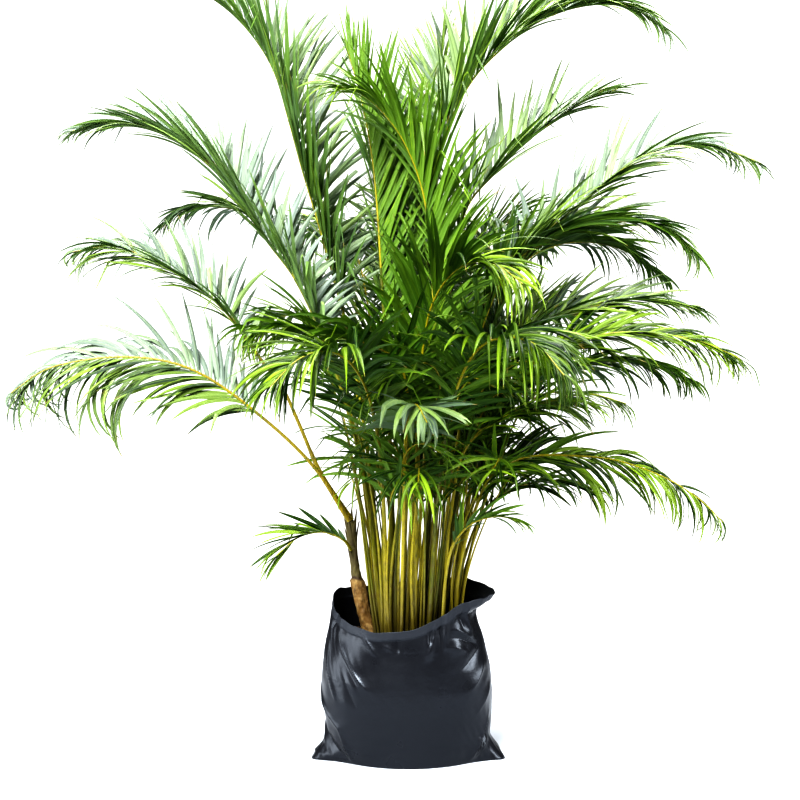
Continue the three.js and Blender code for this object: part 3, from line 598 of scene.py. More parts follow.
def leaf_material():
    made, tree, shader = new_material("palm_leaflet")
    age_and_shade, tone, reach = (attribute(tree, key) for key in ("age_and_shade", "tone", "reach"))
    under, wax_and_sheen = (attribute(tree, key) for key in ("under", "wax_and_sheen"))
    across = attribute(tree, "across").absolute()
    cloud = noise(tree, object_place(tree), 9.0)
    # older_and_shaded mixes age, random tone and the painted shade that age_and_shade carries
    older_and_shaded = (age_and_shade * 0.75 + tone * 1.25 + cloud * 0.7 - 0.70).most(0).least(1)
    green = blend_colours(tree, older_and_shaded, YOUNG_AND_LIT_GREEN, OLD_AND_SHADED_GREEN)
    veins = (across * VEINS).sin()
    dry = (reach + tone * 0.06).mapped(0.965, 1.03, 0.0, 0.9)
    midrib = across.mapped(0.05, 0.16, 0.55, 0.0, smooth=True)
    # the pale wax_and_sheen grey is partly wax and partly a painted sheen
    for amount, tint in (
        (veins.mapped(-1, 1, 0.0, 0.12), OLD_AND_SHADED_GREEN), (midrib, MIDRIB_GREEN), (under * 0.6, UNDERSIDE),
        (wax_and_sheen, WAX_AND_SHEEN), (dry, DRY_TIP),
    ):
        green = blend_colours(tree, amount, green, tint)
    normal = bumped(tree, veins, 0.25, 0.0006)
    coat(tree, shader, green, under * 0.14 + cloud * 0.12 + 0.27, normal)
    shader.inputs["Specular IOR Level"].default_value = 0.38
    glow = built(tree, "ShaderNodeBsdfTranslucent", Color=GLOW, Normal=normal)
    mixed = tree.nodes.new("ShaderNodeMixShader")
    for slot, value in zip(mixed.inputs, (GLOW_SHARE, shader.outputs[0], glow)):
        wire(tree, value, slot)
    wire(tree, mixed.outputs[0], tree.nodes["Material Output"].inputs["Surface"])
    return made


leaf_finish = leaf_material()
print("finish:", leaf_finish.name, "with", len(leaf_finish.node_tree.nodes), "nodes")

# %% [markdown]
# ## The finish of canes and ribs
# The canes of this palm are smooth and waxy: green towards the blades and a warm yellow lower
# down. Towards the soil they get darker and browner, partly earth on them and partly painted
# shade under the crown. They have fine streaks along them, small dark freckles, and
# a thin scar ring wherever an old leaf fell off.

# %% The material of stalks and ribs
STALK_YELLOW = (0.3, 0.26, 0.012, 1)
STALK_GREEN = (0.04, 0.085, 0.004, 1)
STALK_SHADE = (0.035, 0.032, 0.002, 1)
STALK_ORANGE = (0.24, 0.13, 0.02, 1)
SCAR = (0.13, 0.075, 0.03, 1)
# a dark brown for the low stalks: partly earth, partly painted shade under the crown
EARTH_AND_SHADE = (0.05, 0.038, 0.012, 1) # near the soil


def stalk_material():
    made, tree, shader = new_material("waxy_cane")
    share, tone, warm, ring = (attribute(tree, key) for key in ("share", "tone", "warm", "ring"))
    streaks = noise(tree, object_place(tree, (1, 1, 0.04)), 420.0, 3.0)
    patches = noise(tree, object_place(tree, (1, 1, 0.35)), 26.0, 3.0)
    freckles = noise(tree, object_place(tree), 480.0, 1.0)
    greener = (share * 0.6 + tone * 1.1 + patches * 1.1 - 1.02).most(0).least(1)
    # height sets where earth and painted shade darken the stalks low down
    height = Field(tree, object_place(tree)).dot(UP) + patches * 0.06
    colour = blend_colours(tree, greener, STALK_YELLOW, STALK_GREEN)
    for amount, tint in (
        (warm, STALK_ORANGE), ((streaks + tone * 0.12).mapped(0.48, 0.78, 0.0, 0.7), STALK_SHADE),
        (freckles.mapped(0.66, 0.72, 0.0, 0.6), SCAR), (ring, SCAR),
        (height.mapped(0.25, 0.37, 0.85, 0.0), EARTH_AND_SHADE),
    ):
        colour = blend_colours(tree, amount, colour, tint)
    coat(tree, shader, colour, streaks.mapped(0.3, 0.7, 0.28, 0.48), bumped(tree, streaks, 0.35, 0.0008))
    return made


stalk_finish = stalk_material()
print("finish:", stalk_finish.name)

# %% [markdown]
# ## The blade of a frond
# A blade is one rib with two rows of leaflets, and no two leaflets are alike, yet all
# follow the same rule: they leave the rib at a wide angle near its base and at a narrow
# one near its tip, and they are longest a little below its middle. That is work for Geometry
# Nodes. The tree takes the line of the rib, lays a tapering rib along it, and puts a
# leaflet on either side at even steps. A leaflet starts as a four sided cone. Its points
# are then moved onto a strap that bends down under its own weight, with a crease along
# its middle. A few leaflets are snapped and hang, as they do on any real palm.

# %% The shape of one leaflet, worked out point by point
GRAVITY = (0, 0, -1)
LEAFLET_RINGS = 9
RIDGE = 0.30 # how far a leaflet's margins lie under its midrib, in half widths
THICK = 0.055 # half its thickness at the midrib, in half widths
HANG = 1.6 # how much more the loose end of a snapped leaflet falls than it goes on


def strap_width(reach):
    """The half width along a leaflet, from its root to its point, as a share of the widest."""
    root = reach.mapped(0.0, 0.2, 0.28, 1.0, smooth=True)
    point = (reach ** 2.6).less_from(1.0) ** 0.85
    return root * point


def leaflet_place(tree):
    """Where each point of the realized leaflets goes."""
    root, grow, wide = (stored(tree, key, "FLOAT_VECTOR") for key in ("root", "grow", "wide"))
    size, broad, sag, twist, snap = (stored(tree, key) for key in ("size", "broad", "sag", "twist", "snap"))
    reach, across, rise = (stored(tree, key) for key in ("reach", "across", "rise"))
    down = grow.cross(grow.cross(GRAVITY)) * -1.0
    level = down.length()
    down = down.unit()
    axle = grow.cross(down)
    bend = (sag * level).most(0.02)
    held = reach.least(snap)
    angle = bend * held
    forward = grow * (angle.sin() / bend) + down * (angle.cos().less_from(1.0) / bend)
    way = grow.turned(axle, angle)
    hang = (way + tuple(v * HANG for v in GRAVITY)).unit()
    centre = root + (forward + hang * (reach - held)) * size
    turned_wide = wide.turned(axle, angle).turned(way, twist * reach)
    face = way.cross(turned_wide)
    width = strap_width(reach) * broad
    return centre + turned_wide * (across * width) + face * (rise * width)

# %% Where the leaflets of a blade stand, and what each of them is like
ROOT_ANGLE, TIP_ANGLE = math.radians(60), math.radians(22) # between a leaflet and the rib
LAST_LEAFLET = 0.985 # as a share of the rib
BLADE_NUMBERS = {
    "First": 0.0, "Longest": 0.18, "Half Width": 0.006, "Fold": 0.35, "Near Lift": 0.38, "Far Short": 0.06,
    "Droop": 0.4, "Age": 0.5, "Wax And Sheen": 0.0, "Warm": 0.0, "Root Radius": 0.0028, "Tip Radius": 0.0007,
}
# stored to shape the leaflets, and dropped again once they are shaped
LEAFLET_NUMBERS = ("root", "grow", "wide", "size", "broad", "sag", "snap", "twist", "rise", "side", "up")


def facing(way, side):
    """How far a row looks along a level way, from 0 to 1."""
    return side.dot(way).mapped(0.1, 0.8, 0, 1, smooth=True)


def leaflet_points(tree, inputs, curve):
    """Two points at each step along the blade, with what their leaflets need to know stored on them."""
    seed = inputs["Seed"]
    bladed = built(tree, "GeometryNodeTrimCurve", {"mode": "FACTOR"},
                   Curve=curve, Start=inputs["First"], End=LAST_LEAFLET)
    spots = add_node(tree, "GeometryNodeCurveToPoints", {"mode": "COUNT"},
                     Curve=bladed, Count=inputs["Leaflets"])
    twins = add_node(tree, "GeometryNodeDuplicateElements", {"domain": "POINT"},
                     Geometry=spots.outputs["Points"], Amount=2)
    row = Field(tree, twins.outputs["Duplicate Index"]) * 2.0 - 1.0
    along = Field(tree, spots.outputs["Tangent"])
    side, up = (stored(tree, key, "FLOAT_VECTOR").unit() for key in ("side", "up"))
    v = stored(tree, "share").most(0).least(1)
    near, far = (facing(way, side * row) for way in ((0, -1, 0), (0, 1, 0)))

    spread = v.mapped(0, 1, ROOT_ANGLE, TIP_ANGLE) * (near * -0.42 + 1.0)
    angle = spread + chance(tree, seed, -0.14, 0.14, 1)
    lift = near * inputs["Near Lift"] + inputs["Fold"] + chance(tree, seed, -0.36, 0.36, 2)
    out = side * (row * lift.cos()) + up * lift.sin()
    grow = (along * angle.cos() + out * angle.sin()).unit()
    size = ((v * 0.7 + 0.2) * math.pi).sin() ** 0.8 * inputs["Longest"] * chance(tree, seed, 0.84, 1.12, 3)
    broad = Field(tree, inputs["Half Width"]) * v.mapped(0.55, 1, 1, 0.5) * chance(tree, seed, 0.8, 1.15, 4)
    sag = Field(tree, inputs["Droop"]) * v.mapped(0, 1, 1.6, 3.4) * chance(tree, seed, 0.4, 1.6, 5)
    place = Field(tree, built(tree, "GeometryNodeInputPosition"))
    slip = along * (row * 0.0035 + chance(tree, seed, -0.002, 0.002, 6))
    snapped = chance(tree, seed, 0.0, 1.0, 7).over(0.93)
    points = twins.outputs["Geometry"]
    # age_and_shade is lowered on the row that faces the front, as painted light; wax_and_sheen is kept off
    # that row and laid on the far row, partly wax and partly a painted sheen.
    for key, value in dict(
        root=place + slip + side * (row * 0.001), grow=grow,
        wide=(along - grow * along.dot(grow)).unit() * row, broad=broad,
        size=size * (far * inputs["Far Short"]).less_from(1.0),
        sag=sag * (far * inputs["Far Short"] * 2.5 + 1.0),
        snap=snapped * (chance(tree, seed, 0.45, 0.75, 8) - 1.0) + 1.0,
        twist=chance(tree, seed, -1.1, 1.1, 9), tone=chance(tree, seed, 0.0, 1.0, 10),
        age_and_shade=near * -0.25 + inputs["Age"],
        wax_and_sheen=(near * 0.72).less_from(1.0) * inputs["Wax And Sheen"] * chance(tree, seed, 0.55, 1.1, 11),
    ).items():
        points = store(tree, points, key, value)
    return points

# %% The blank that every leaflet starts from
RIB_SIDES = 8
LEAST_RING = 0.0001 # keeps the point of the cone from being divided by nothing


def blank_leaflet(tree):
    """A cone of four sides with creases along it, and each point's place on the leaflet stored."""
    cone = add_node(tree, "GeometryNodeMeshCone", Vertices=4, Side_Segments=LEAFLET_RINGS, Fill_Segments=1,
                    Radius_Top=0.0, Radius_Bottom=1.0, Depth=1.0).outputs["Mesh"]
    spot = add_node(tree, "ShaderNodeSeparateXYZ", Vector=built(tree, "GeometryNodeInputPosition"))
    x, y, reach = (Field(tree, s) for s in spot.outputs)
    ring = reach.less_from(1.0).most(LEAST_RING)
    across = x / ring
    blank = store(tree, cone, "under", y.over(0).less_from(1.0), "FACE")
    ends = tree.nodes.new("GeometryNodeInputMeshEdgeVertices")
    step = Field(tree, ends.outputs["Position 1"]) - Field(tree, ends.outputs["Position 2"])
    lengthwise = step.dot((0, 0, 1)).absolute().over(0.01)
    blank = built(tree, "GeometryNodeSetShadeSmooth", {"domain": "EDGE"},
                  Geometry=blank, Selection=lengthwise, Shade_Smooth=False)
    blank = store(tree, blank, "reach", reach)
    blank = store(tree, blank, "across", across)
    return store(tree, blank, "rise", y / ring * THICK - across.absolute() * RIDGE)

# %% The tree that grows a blade
def blade_tree():
    tree, given, result = new_tree("blade", BLADE_NUMBERS, {"Leaflets": 30, "Seed": 1}, ["Leaflet", "Rib"])
    inputs = given.outputs
    curve = built(tree, "GeometryNodeMeshToCurve", Mesh=inputs["Geometry"])
    radius = stored(tree, "share").mapped(0, 1, inputs["Root Radius"], inputs["Tip Radius"])
    rib = store(tree, pipe(tree, curve, radius, RIB_SIDES), "warm", Field(tree, inputs["Warm"]))
    points = leaflet_points(tree, inputs, curve)
    leaflets = built(tree, "GeometryNodeInstanceOnPoints", Points=points, Instance=blank_leaflet(tree))
    leaflets = built(tree, "GeometryNodeRealizeInstances", Geometry=leaflets)
    leaflets = built(tree, "GeometryNodeSetPosition", Geometry=leaflets, Position=leaflet_place(tree))
    both = joined(tree, coated(tree, leaflets, inputs["Leaflet"]), coated(tree, rib, inputs["Rib"]))
    for key in LEAFLET_NUMBERS:
        both = built(tree, "GeometryNodeRemoveAttribute", Geometry=both, Name=key)
    wire(tree, both, result.inputs[0])
    return tree


blade = blade_tree()
print("the blade tree has", len(blade.nodes), "nodes")

# %% Grow every blade
LEAFLETS_PER_PAIR = 3.6 # the solids carry fewer and broader leaflets than the plant
HALF_WIDTH = 0.0045
LOWER_START = 0.1 # leaflets begin this share of the line below the blade, on the inner fronds
PATH_STEPS = 44
INNER_FULLNESS = 1.25 # the inner fronds have more leaflets, as their blades start lower
LEAF_STRETCH = 1.06 # of the longest leaflet
SHOOT_SLIMNESS = 0.8
BLADE_SEEDS = 100 # the first of the blades' seeds
STEM_RADIUS = 0.0026 # where a stalk ends and a blade begins
PERCH_WARMTH = 0.35 # the two fronds on the old cane have warmer stalks


def grow_blade(number, frond):
    line = lines[frond["name"]]
    shoot = frond["shoot"]
    inner = "foot" in frond and not shoot
    leafy = frond["bare"] - LOWER_START * inner
    shares = np.linspace(0.0 if shoot else leafy, 1, PATH_STEPS)
    points = [line.at(u) for u in shares]
    frames = [line.frame(u, u >= leafy - 1e-6) for u in shares]
    blade_shares = (shares - leafy) / (LAST_PAIR - leafy)
    if shoot and "foot" in frond:
        points.insert(0, points[0] * (1, 1, 0) + UP * SUNK_HEIGHT)
        frames.insert(0, frames[0])
        blade_shares = np.insert(blade_shares, 0, blade_shares[0])
    name = frond["name"] + ("" if shoot else "_frond")
    sides, ups = zip(*frames)
    host = path_object("palm_" + name, points, dict(side=sides, up=ups), dict(share=blade_shares))
    gone = np.concatenate([[0], np.cumsum(np.linalg.norm(np.diff(points, axis=0), axis=1))])
    start = float(np.interp(0, blade_shares[-PATH_STEPS:], gone[-PATH_STEPS:]) / gone[-1])
    fullness = frond["dense"] * (INNER_FULLNESS if inner else 1.0)
    piece = grown(host, blade, {
        "Leaflets": round(frond["pairs"] * LEAFLETS_PER_PAIR * fullness), "First": start,
        "Longest": frond["leaf"] * MM * LEAF_STRETCH,
        "Half Width": HALF_WIDTH * (SHOOT_SLIMNESS if shoot else 1.0) * frond["wide"],
        "Fold": math.radians(frond["fold"]), "Near Lift": math.radians(frond["near"]),
        "Far Short": frond["short"], "Droop": frond["droop"], "Age": frond["age_and_shade"], "Wax And Sheen": frond["wax_and_sheen"],
        "Warm": PERCH_WARMTH if "perch" in frond else 0.0, "Root Radius": STEM_RADIUS,
        "Seed": BLADE_SEEDS + number, "Leaflet": leaf_finish, "Rib": stalk_finish,
    })
    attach(piece, "root")
    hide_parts(name)
    return piece


blades = [grow_blade(number, frond) for number, frond in enumerate(FRONDS)]
print(len(blades), "blades of", sum(len(b.data.polygons) for b in blades), "faces")

# %% [markdown]
# ## The stalks
# Each stalk is a slender cane: thickest in the soil, then a leaf sheath wrapped round it
# that ends in a soft step, then the smooth leaf stalk that carries the blade. Curve
# to Mesh would give an even pipe, so the tree also swells the pipe where the sheath is
# and at every scar ring, and marks the rings for the material.

# %% The tree that grows a stalk
STALK_SIDES = 14
STALK_STEP = 0.005 # between two rings of its pipe


def stalk_tree():
    numbers = {"Foot Radius": 0.0045, "Top Radius": STEM_RADIUS, "Sheath": 0.5, "Ring Step": 0.055}
    numbers["Warm"] = 0.0
    tree, given, result = new_tree("stalk", numbers, {}, ["Finish"])
    inputs = given.outputs
    curve = built(tree, "GeometryNodeMeshToCurve", Mesh=inputs["Geometry"])
    curve = built(tree, "GeometryNodeResampleCurve", {"mode": "LENGTH"}, Curve=curve, Length=STALK_STEP)
    share = stored(tree, "share")
    gone = Field(tree, add_node(tree, "GeometryNodeSplineParameter").outputs["Length"])
    foot, top, sheath = (Field(tree, inputs[key]) for key in ("Foot Radius", "Top Radius", "Sheath"))
    plain = (foot + (top - foot) * (share.most(0) ** 0.6)) * stored(tree, "slim")
    wrapped = (sheath - share).mapped(-0.012, 0.012, 0.0, 0.2, smooth=True)
    off = ((gone / inputs["Ring Step"]).beyond_whole() - 0.5).absolute()
    ring = off.mapped(0.0, 0.05, 1.0, 0.0, smooth=True) * share.mapped(0.3, 0.42, 1.0, 0.0)
    curve = store(tree, curve, "ring", ring * 0.35)
    body = pipe(tree, curve, plain * (wrapped + ring * 0.06 + 1.0), STALK_SIDES)
    body = store(tree, body, "warm", Field(tree, inputs["Warm"]))
    body = built(tree, "GeometryNodeRealizeInstances", Geometry=body)
    wire(tree, coated(tree, body, inputs["Finish"]), result.inputs[0])
    return tree


stalk_grower = stalk_tree()
print("the stalk tree has", len(stalk_grower.nodes), "nodes")

# %% The young stems beside a stalk
STEMS_BESIDE = 3
STEM_SEEDS = 900
LOWEST_STEM_TOP, HIGHEST_STEM_TOP = 0.42, 0.66
SHORTEST_LOW_LEAF, LONGEST_LOW_LEAF = 0.06, 0.15
LOW_LEAF_STEPS = 14


def low_leaf(pick, chain, way):
    """The rib of a small leaf that arches away from the top of a young stem."""
    rise = chain[-1] - chain[-3]
    rise /= np.linalg.norm(rise)
    reach = pick.uniform(SHORTEST_LOW_LEAF, LONGEST_LOW_LEAF)
    points = [chain[-1]]
    for t in np.linspace(0, 1, LOW_LEAF_STEPS):
        step = rise * (1 - t) ** 1.5 + way * (0.2 + 0.6 * t) - UP * 0.5 * t**2
        points.append(points[-1] + step * reach / LOW_LEAF_STEPS / np.linalg.norm(step))
    return np.array(points)


def stems_beside(number, points):
    """Young stems that stand close to a stalk and lean away from it, each with a small leaf for its top."""
    pick = np.random.default_rng(STEM_SEEDS + number)
    points = np.array(points)
    outward = points[-1] * (1, 1, 0) / np.linalg.norm(points[-1][:2])
    for _ in range(STEMS_BESIDE):
        turn = pick.uniform(0, math.tau)
        way = np.array([math.cos(turn) * 0.6, math.sin(turn), 0]) + outward * 0.3
        way /= np.linalg.norm(way)
        top = np.searchsorted(points[:, 2], pick.uniform(LOWEST_STEM_TOP, HIGHEST_STEM_TOP))
        count = min(int(top), len(points))
        t = np.linspace(0, 1, count)[:, None]
        bow = way[[1, 0, 2]] * 0.006 * np.sin(math.pi * t * pick.uniform(0.8, 1.6))
        lean = pick.uniform(0.007, 0.010) + pick.uniform(0.006, 0.034) * t**1.5
        chain = points[:count] + way * lean + bow
        slim = pick.uniform(0.4, 0.66) * (1 - 0.4 * t[:, 0] ** 3)
        tone = pick.uniform(0, 1)
        yield chain, slim, tone, low_leaf(pick, chain, way)

# %% Grow every stalk
STALK_STEPS = 40
FOOT_RADIUS, PERCH_RADIUS = 0.0041, 0.0036
LEFTMOST_LOW_LEAF = -0.12 # the clump is bare at its left, over the old cane
low_leaves = []


def grow_stalk(number, frond):
    line = lines[frond["name"]]
    shares = np.linspace(0, frond["bare"], STALK_STEPS)
    points = [line.at(u) for u in shares]
    along = shares / frond["bare"]
    if "foot" in frond:
        points.insert(0, points[0] * (1, 1, 0) + UP * SUNK_HEIGHT)
        along = np.insert(along, 0, 0)
    chains, slims, tones = [points], [np.ones(len(points))], [0.5 + 0.5 * math.sin(number * 3.1)]
    if "foot" in frond:
        for chain, slim, tone, leaf in stems_beside(number, points):
            if leaf[-1][0] > LEFTMOST_LOW_LEAF:
                low_leaves.append(leaf)
            chains.append(chain)
            slims.append(slim)
            tones.append(tone)
    breaks = np.cumsum([len(chain) for chain in chains]).tolist()
    numbers = dict(
        share=np.concatenate([along[: len(chain)] for chain in chains]), slim=np.concatenate(slims),
        tone=np.concatenate([np.full(len(chain), tone) for chain, tone in zip(chains, tones)]),
    )
    name = frond["name"] + "_stalk"
    host = path_object("palm_" + name, np.vstack(chains), {}, numbers, breaks)
    piece = grown(host, stalk_grower, {
        "Foot Radius": PERCH_RADIUS if "perch" in frond else FOOT_RADIUS, "Top Radius": STEM_RADIUS,
        "Sheath": 0.34 + 0.06 * math.sin(number * 2.4), "Ring Step": 0.05 + 0.012 * math.cos(number * 1.7),
        "Warm": PERCH_WARMTH if "perch" in frond else 0.0, "Finish": stalk_finish,
    })
    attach(piece, "root")
    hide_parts(name)
    return piece


stalks = [grow_stalk(number, frond) for number, frond in enumerate(FRONDS) if not frond["shoot"]]
print(len(stalks), "stalks of", sum(len(s.data.polygons) for s in stalks), "faces")

# %% The small leaves low in the clump
# They come from the same tree as the blades, in three pieces, painted darker at the back and brighter in
# front as painted shade deep in the clump.
LOW_LEAF = {
    "Leaflets": 7, "First": 0.04, "Longest": 0.145, "Half Width": HALF_WIDTH, "Fold": math.radians(20),
    "Droop": 0.35, "Root Radius": 0.0016, "Leaflet": leaf_finish, "Rib": stalk_finish,
}
LOW_LEAF_SEEDS = 700
# name, from how deep to how deep in metres, and age_and_shade
LOW_PIECES = [("back", 0.03, 9, 0.8), ("middle", -0.04, 0.03, 0.5), ("front", -9, -0.04, 0.35)]


def grow_low_leaves(name, from_depth, to_depth, age_and_shade, seed):
    chosen = [leaf for leaf in low_leaves if from_depth <= leaf[0][1] < to_depth]
    sides, ups = [], []
    for leaf in chosen:
        along = np.gradient(leaf, axis=0)
        along /= np.linalg.norm(along, axis=1)[:, None]
        side = np.cross(along, UP)
        side /= np.linalg.norm(side, axis=1)[:, None]
        sides.append(side)
        ups.append(np.cross(side, along))
    breaks = np.cumsum([len(leaf) for leaf in chosen]).tolist()
    shares = np.tile(np.linspace(0, 1, LOW_LEAF_STEPS + 1), len(chosen))
    vectors = dict(side=np.vstack(sides), up=np.vstack(ups))
    host = path_object("palm_low_leaves_" + name, np.vstack(chosen), vectors, dict(share=shares), breaks)
    piece = grown(host, blade, LOW_LEAF | {"Age": age_and_shade, "Seed": seed})
    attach(piece, "root")
    return piece


low_pieces = [grow_low_leaves(*row, LOW_LEAF_SEEDS + number) for number, row in enumerate(LOW_PIECES)]
print(len(low_leaves), "low leaves of", sum(len(p.data.polygons) for p in low_pieces), "faces")

# %% [markdown]
# ## The old cane
# At the left stands a stump of an older cane, thick, brown and fibrous below a dark leaf
# scar, and thinner above it. A stack of rings gives its shape. Moving each ring's points
# in and out by smooth waves gives it the flutes and knots that make bark look like bark.

# %% Surfaces made of rings of points
def ring_mesh(name, *stacks):
    """Closed skins over stacks of rings, listed upwards, each ring running anticlockwise."""
    points, faces = [], []
    for rings in stacks:
        count, first = len(rings[0]), len(points)
        points += [tuple(p) for ring in rings for p in ring]
        for r in range(len(rings) - 1):
            low, high = first + r * count, first + (r + 1) * count
            pairs = [(i, (i + 1) % count) for i in range(count)]
            faces += [(low + i, low + j, high + j, high + i) for i, j in pairs]
        top, middle = first + (len(rings) - 1) * count, len(points)
        points += [tuple(np.mean(rings[0], axis=0)), tuple(np.mean(rings[-1], axis=0))]
        faces += [(middle, first + (i + 1) % count, first + i) for i in range(count)]
        faces += [(middle + 1, top + i, top + (i + 1) % count) for i in range(count)]
    mesh = bpy.data.meshes.new(name)
    mesh.from_pydata(points, [], faces)
    mesh.shade_smooth()
    made = bpy.data.objects.new(name, mesh)
    bpy.context.collection.objects.link(made)
    return made

# %% The bark
BARK = (0.15, 0.085, 0.022, 1)
BARK_PALE = (0.27, 0.185, 0.07, 1)
BARK_DARK = (0.035, 0.02, 0.01, 1)
SHEATH_OLIVE = (0.09, 0.085, 0.03, 1)
SHEATH_FROM = 0.296 # the height where the bare trunk ends and old leaf sheaths wrap it


def bark_material():
    made, tree, shader = new_material("cane_bark")
    height = Field(tree, object_place(tree)).dot(UP)
    sheathed = height.mapped(SHEATH_FROM - 0.004, SHEATH_FROM + 0.004, 0.0, 0.85)
    fibres = noise(tree, object_place(tree, (1, 1, 0.3)), 260.0, 4.0, 0.6)
    blotches = noise(tree, object_place(tree), 110.0, 4.0, 0.65)
    colour = blend_colours(tree, blotches.mapped(0.44, 0.66, 0.0, 1.0), BARK, BARK_PALE)
    dark = fibres.mapped(0.5, 0.72, 0.0, 0.8)
    for amount, tint in ((sheathed, SHEATH_OLIVE), (dark, BARK_DARK), (attribute(tree, "scar"), BARK_DARK)):
        colour = blend_colours(tree, amount, colour, tint)
    coat(tree, shader, colour, 0.75, bumped(tree, fibres + blotches, 0.6, 0.002))
    return made


bark_finish = bark_material()
print("finish:", bark_finish.name)

# %% The shape of the stump
# Its centre line is that of the solid. Over the scar it is slimmer than the solid, and old
# sheaths stand off it and wrap the feet of the two fronds that grow from its top.
CANE_LINE = [(-68, 0, 145), (-68, 0, 212), (-75, 0, 235), (-82, -2, 270), (-87, -3, 292), (-88, -3, 298),
             (-92, -4, 330), (-96, -5, 365), (-98, -4, 393)]
CANE_RADII = [12.5, 12.5, 12, 11.5, 12.5, 9, 7, 7.5, 9]
CANE_SIDES = 64
CANE_RINGS = 130
SCAR_HEIGHT = 0.2945


def cane_rings():
    heights = np.array([p[2] for p in CANE_LINE]) * MM
    turns = np.linspace(0, 2 * math.pi, CANE_SIDES, endpoint=False)
    rings, scars = [], []
    for z in np.linspace(heights[0], heights[-1], CANE_RINGS):
        x, y = (np.interp(z, heights, np.array([p[i] for p in CANE_LINE]) * MM) for i in (0, 1))
        radius = np.interp(z, heights, np.array(CANE_RADII) * MM)
        wobble = 0.07 * np.sin(2 * turns + z * 75) + 0.05 * np.sin(5 * turns - z * 150 + 2 * np.sin(z * 90))
        wobble += 0.035 * np.sin(9 * turns + z * 420) * np.sin(z * 260)
        slant = z - SCAR_HEIGHT + 0.003 * np.sin(turns + 0.6)
        notch = np.exp(-((slant / 0.0024) ** 2))
        girth = radius * (1 + wobble + 0.02 * np.sin(z * 520 + 3 * np.sin(turns)) - 0.12 * notch)
        level = np.full(CANE_SIDES, z)
        rings.append(np.stack([x + girth * np.cos(turns), y + girth * np.sin(turns), level], axis=1))
        scars.append(notch)
    return rings, np.array(scars)

# %% The old sheaths round it
SHEATH_SIDES = 10
SHEATH_RINGS = 14
# turn in degrees, foot and tip height, half width, lean outwards in millimetres
SHEATHS = [(200, 345, 424, 7, 6), (80, 352, 418, 6, 3), (320, 340, 414, 7, 7), (260, 330, 402, 6, 5),
           (20, 325, 392, 6, 8), (140, 318, 380, 6, 8), (230, 306, 362, 6, 9), (290, 300, 348, 7, 8)]


def sheath_rings(turn, foot, tip, half, lean):
    """A pointed strip that leaves the cane's side and stands up beside it."""
    turn = math.radians(turn)
    out = np.array([math.cos(turn), math.sin(turn), 0.0])
    side = np.array([-out[1], out[0], 0.0])
    heights = np.array([p[2] for p in CANE_LINE])
    rings = []
    for t in np.linspace(0, 1, SHEATH_RINGS):
        z = foot + (tip - foot) * t
        middle = np.array([np.interp(z, heights, [p[0] for p in CANE_LINE]),
                           np.interp(z, heights, [p[1] for p in CANE_LINE]), z])
        middle = middle + out * (np.interp(z, heights, CANE_RADII) - 1.5 + lean * t**2)
        width = half * max(0.04, 1 - t**1.8) * min(1, 0.5 + 2 * t)
        ring = []
        for a in np.linspace(0, 2 * math.pi, SHEATH_SIDES, endpoint=False):
            curl = -0.05 * (width * math.sin(a)) ** 2
            ring.append(middle + out * (1.1 * math.cos(a) + curl) + side * width * math.sin(a))
        rings.append(np.array(ring) * MM)
    return rings

# %% The stump and its sheaths in one mesh
rings, scars = cane_rings()
sheaths = [sheath_rings(*sheath) for sheath in SHEATHS]
cane = ring_mesh("palm_cane", rings, *sheaths)
values = scars.ravel().tolist() + [0.0, 0.3]
for sheath in sheaths:
    darker = np.repeat(np.linspace(0.1, 0.55, SHEATH_RINGS), SHEATH_SIDES)
    values += darker.tolist() + [0.0, 0.5]
keep_at_points(cane.data, "scar", values)
cane.data.materials.append(bark_finish)
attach(cane, "root")
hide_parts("cane")
print("the old cane has", len(cane.data.polygons), "faces")

# %% [markdown]
# ## The grow bag
# The pot is a bag of thick black film, standing open and full of soil. Film of this
# kind holds creases: it bulges where soil presses, wrinkles where the load hangs from
# the rim, and stands out in two flat ears at its bottom corners. The shell is a stack
# of rings on the same formula as the solid. Folds are added to it as soft ridges, each
# with its own place, length and depth, which is how one would push them in by hand.

# %% The bag's plain form
# It is the solid's formula with more added: the film is gathered into a neck under its right
# lip, the left corner leans in and is pinched, and the ears lie a little forward.
HALF_WIDTH_BAG, HALF_DEPTH_BAG = 0.143, 0.104
RIM, DIP, EAR, FILM = 0.272, 0.052, 0.024, 0.0016
DIP_ANGLE = math.radians(108)
BOXY = 0.82
NECK_SHARES = [0, 0.3, 0.5, 0.68, 0.83, 0.925, 0.96, 1]
NECK_RIGHT = [0, 0.002, 0.006, 0.012, 0.019, 0.025, 0.006, 0.002]
NECK_LEFT = [0, 0, 0, 0, 0.002, 0.005, 0.006, 0.007]
PINCH = 0.5
EAR_AHEAD = 0.03
EAR_HEIGHT, LIP_FROM, PINCH_FROM = 0.16, 0.88, 0.6 # as shares of the height
LIP_FLARE = 0.014


def mouth(angle):
    return RIM - DIP * np.maximum(0, np.cos(angle + DIP_ANGLE)) ** 1.3


def above(share, start):
    """0 up to the start, and from there evenly up to 1 at the rim."""
    return max(0, share - start) / (1 - start)


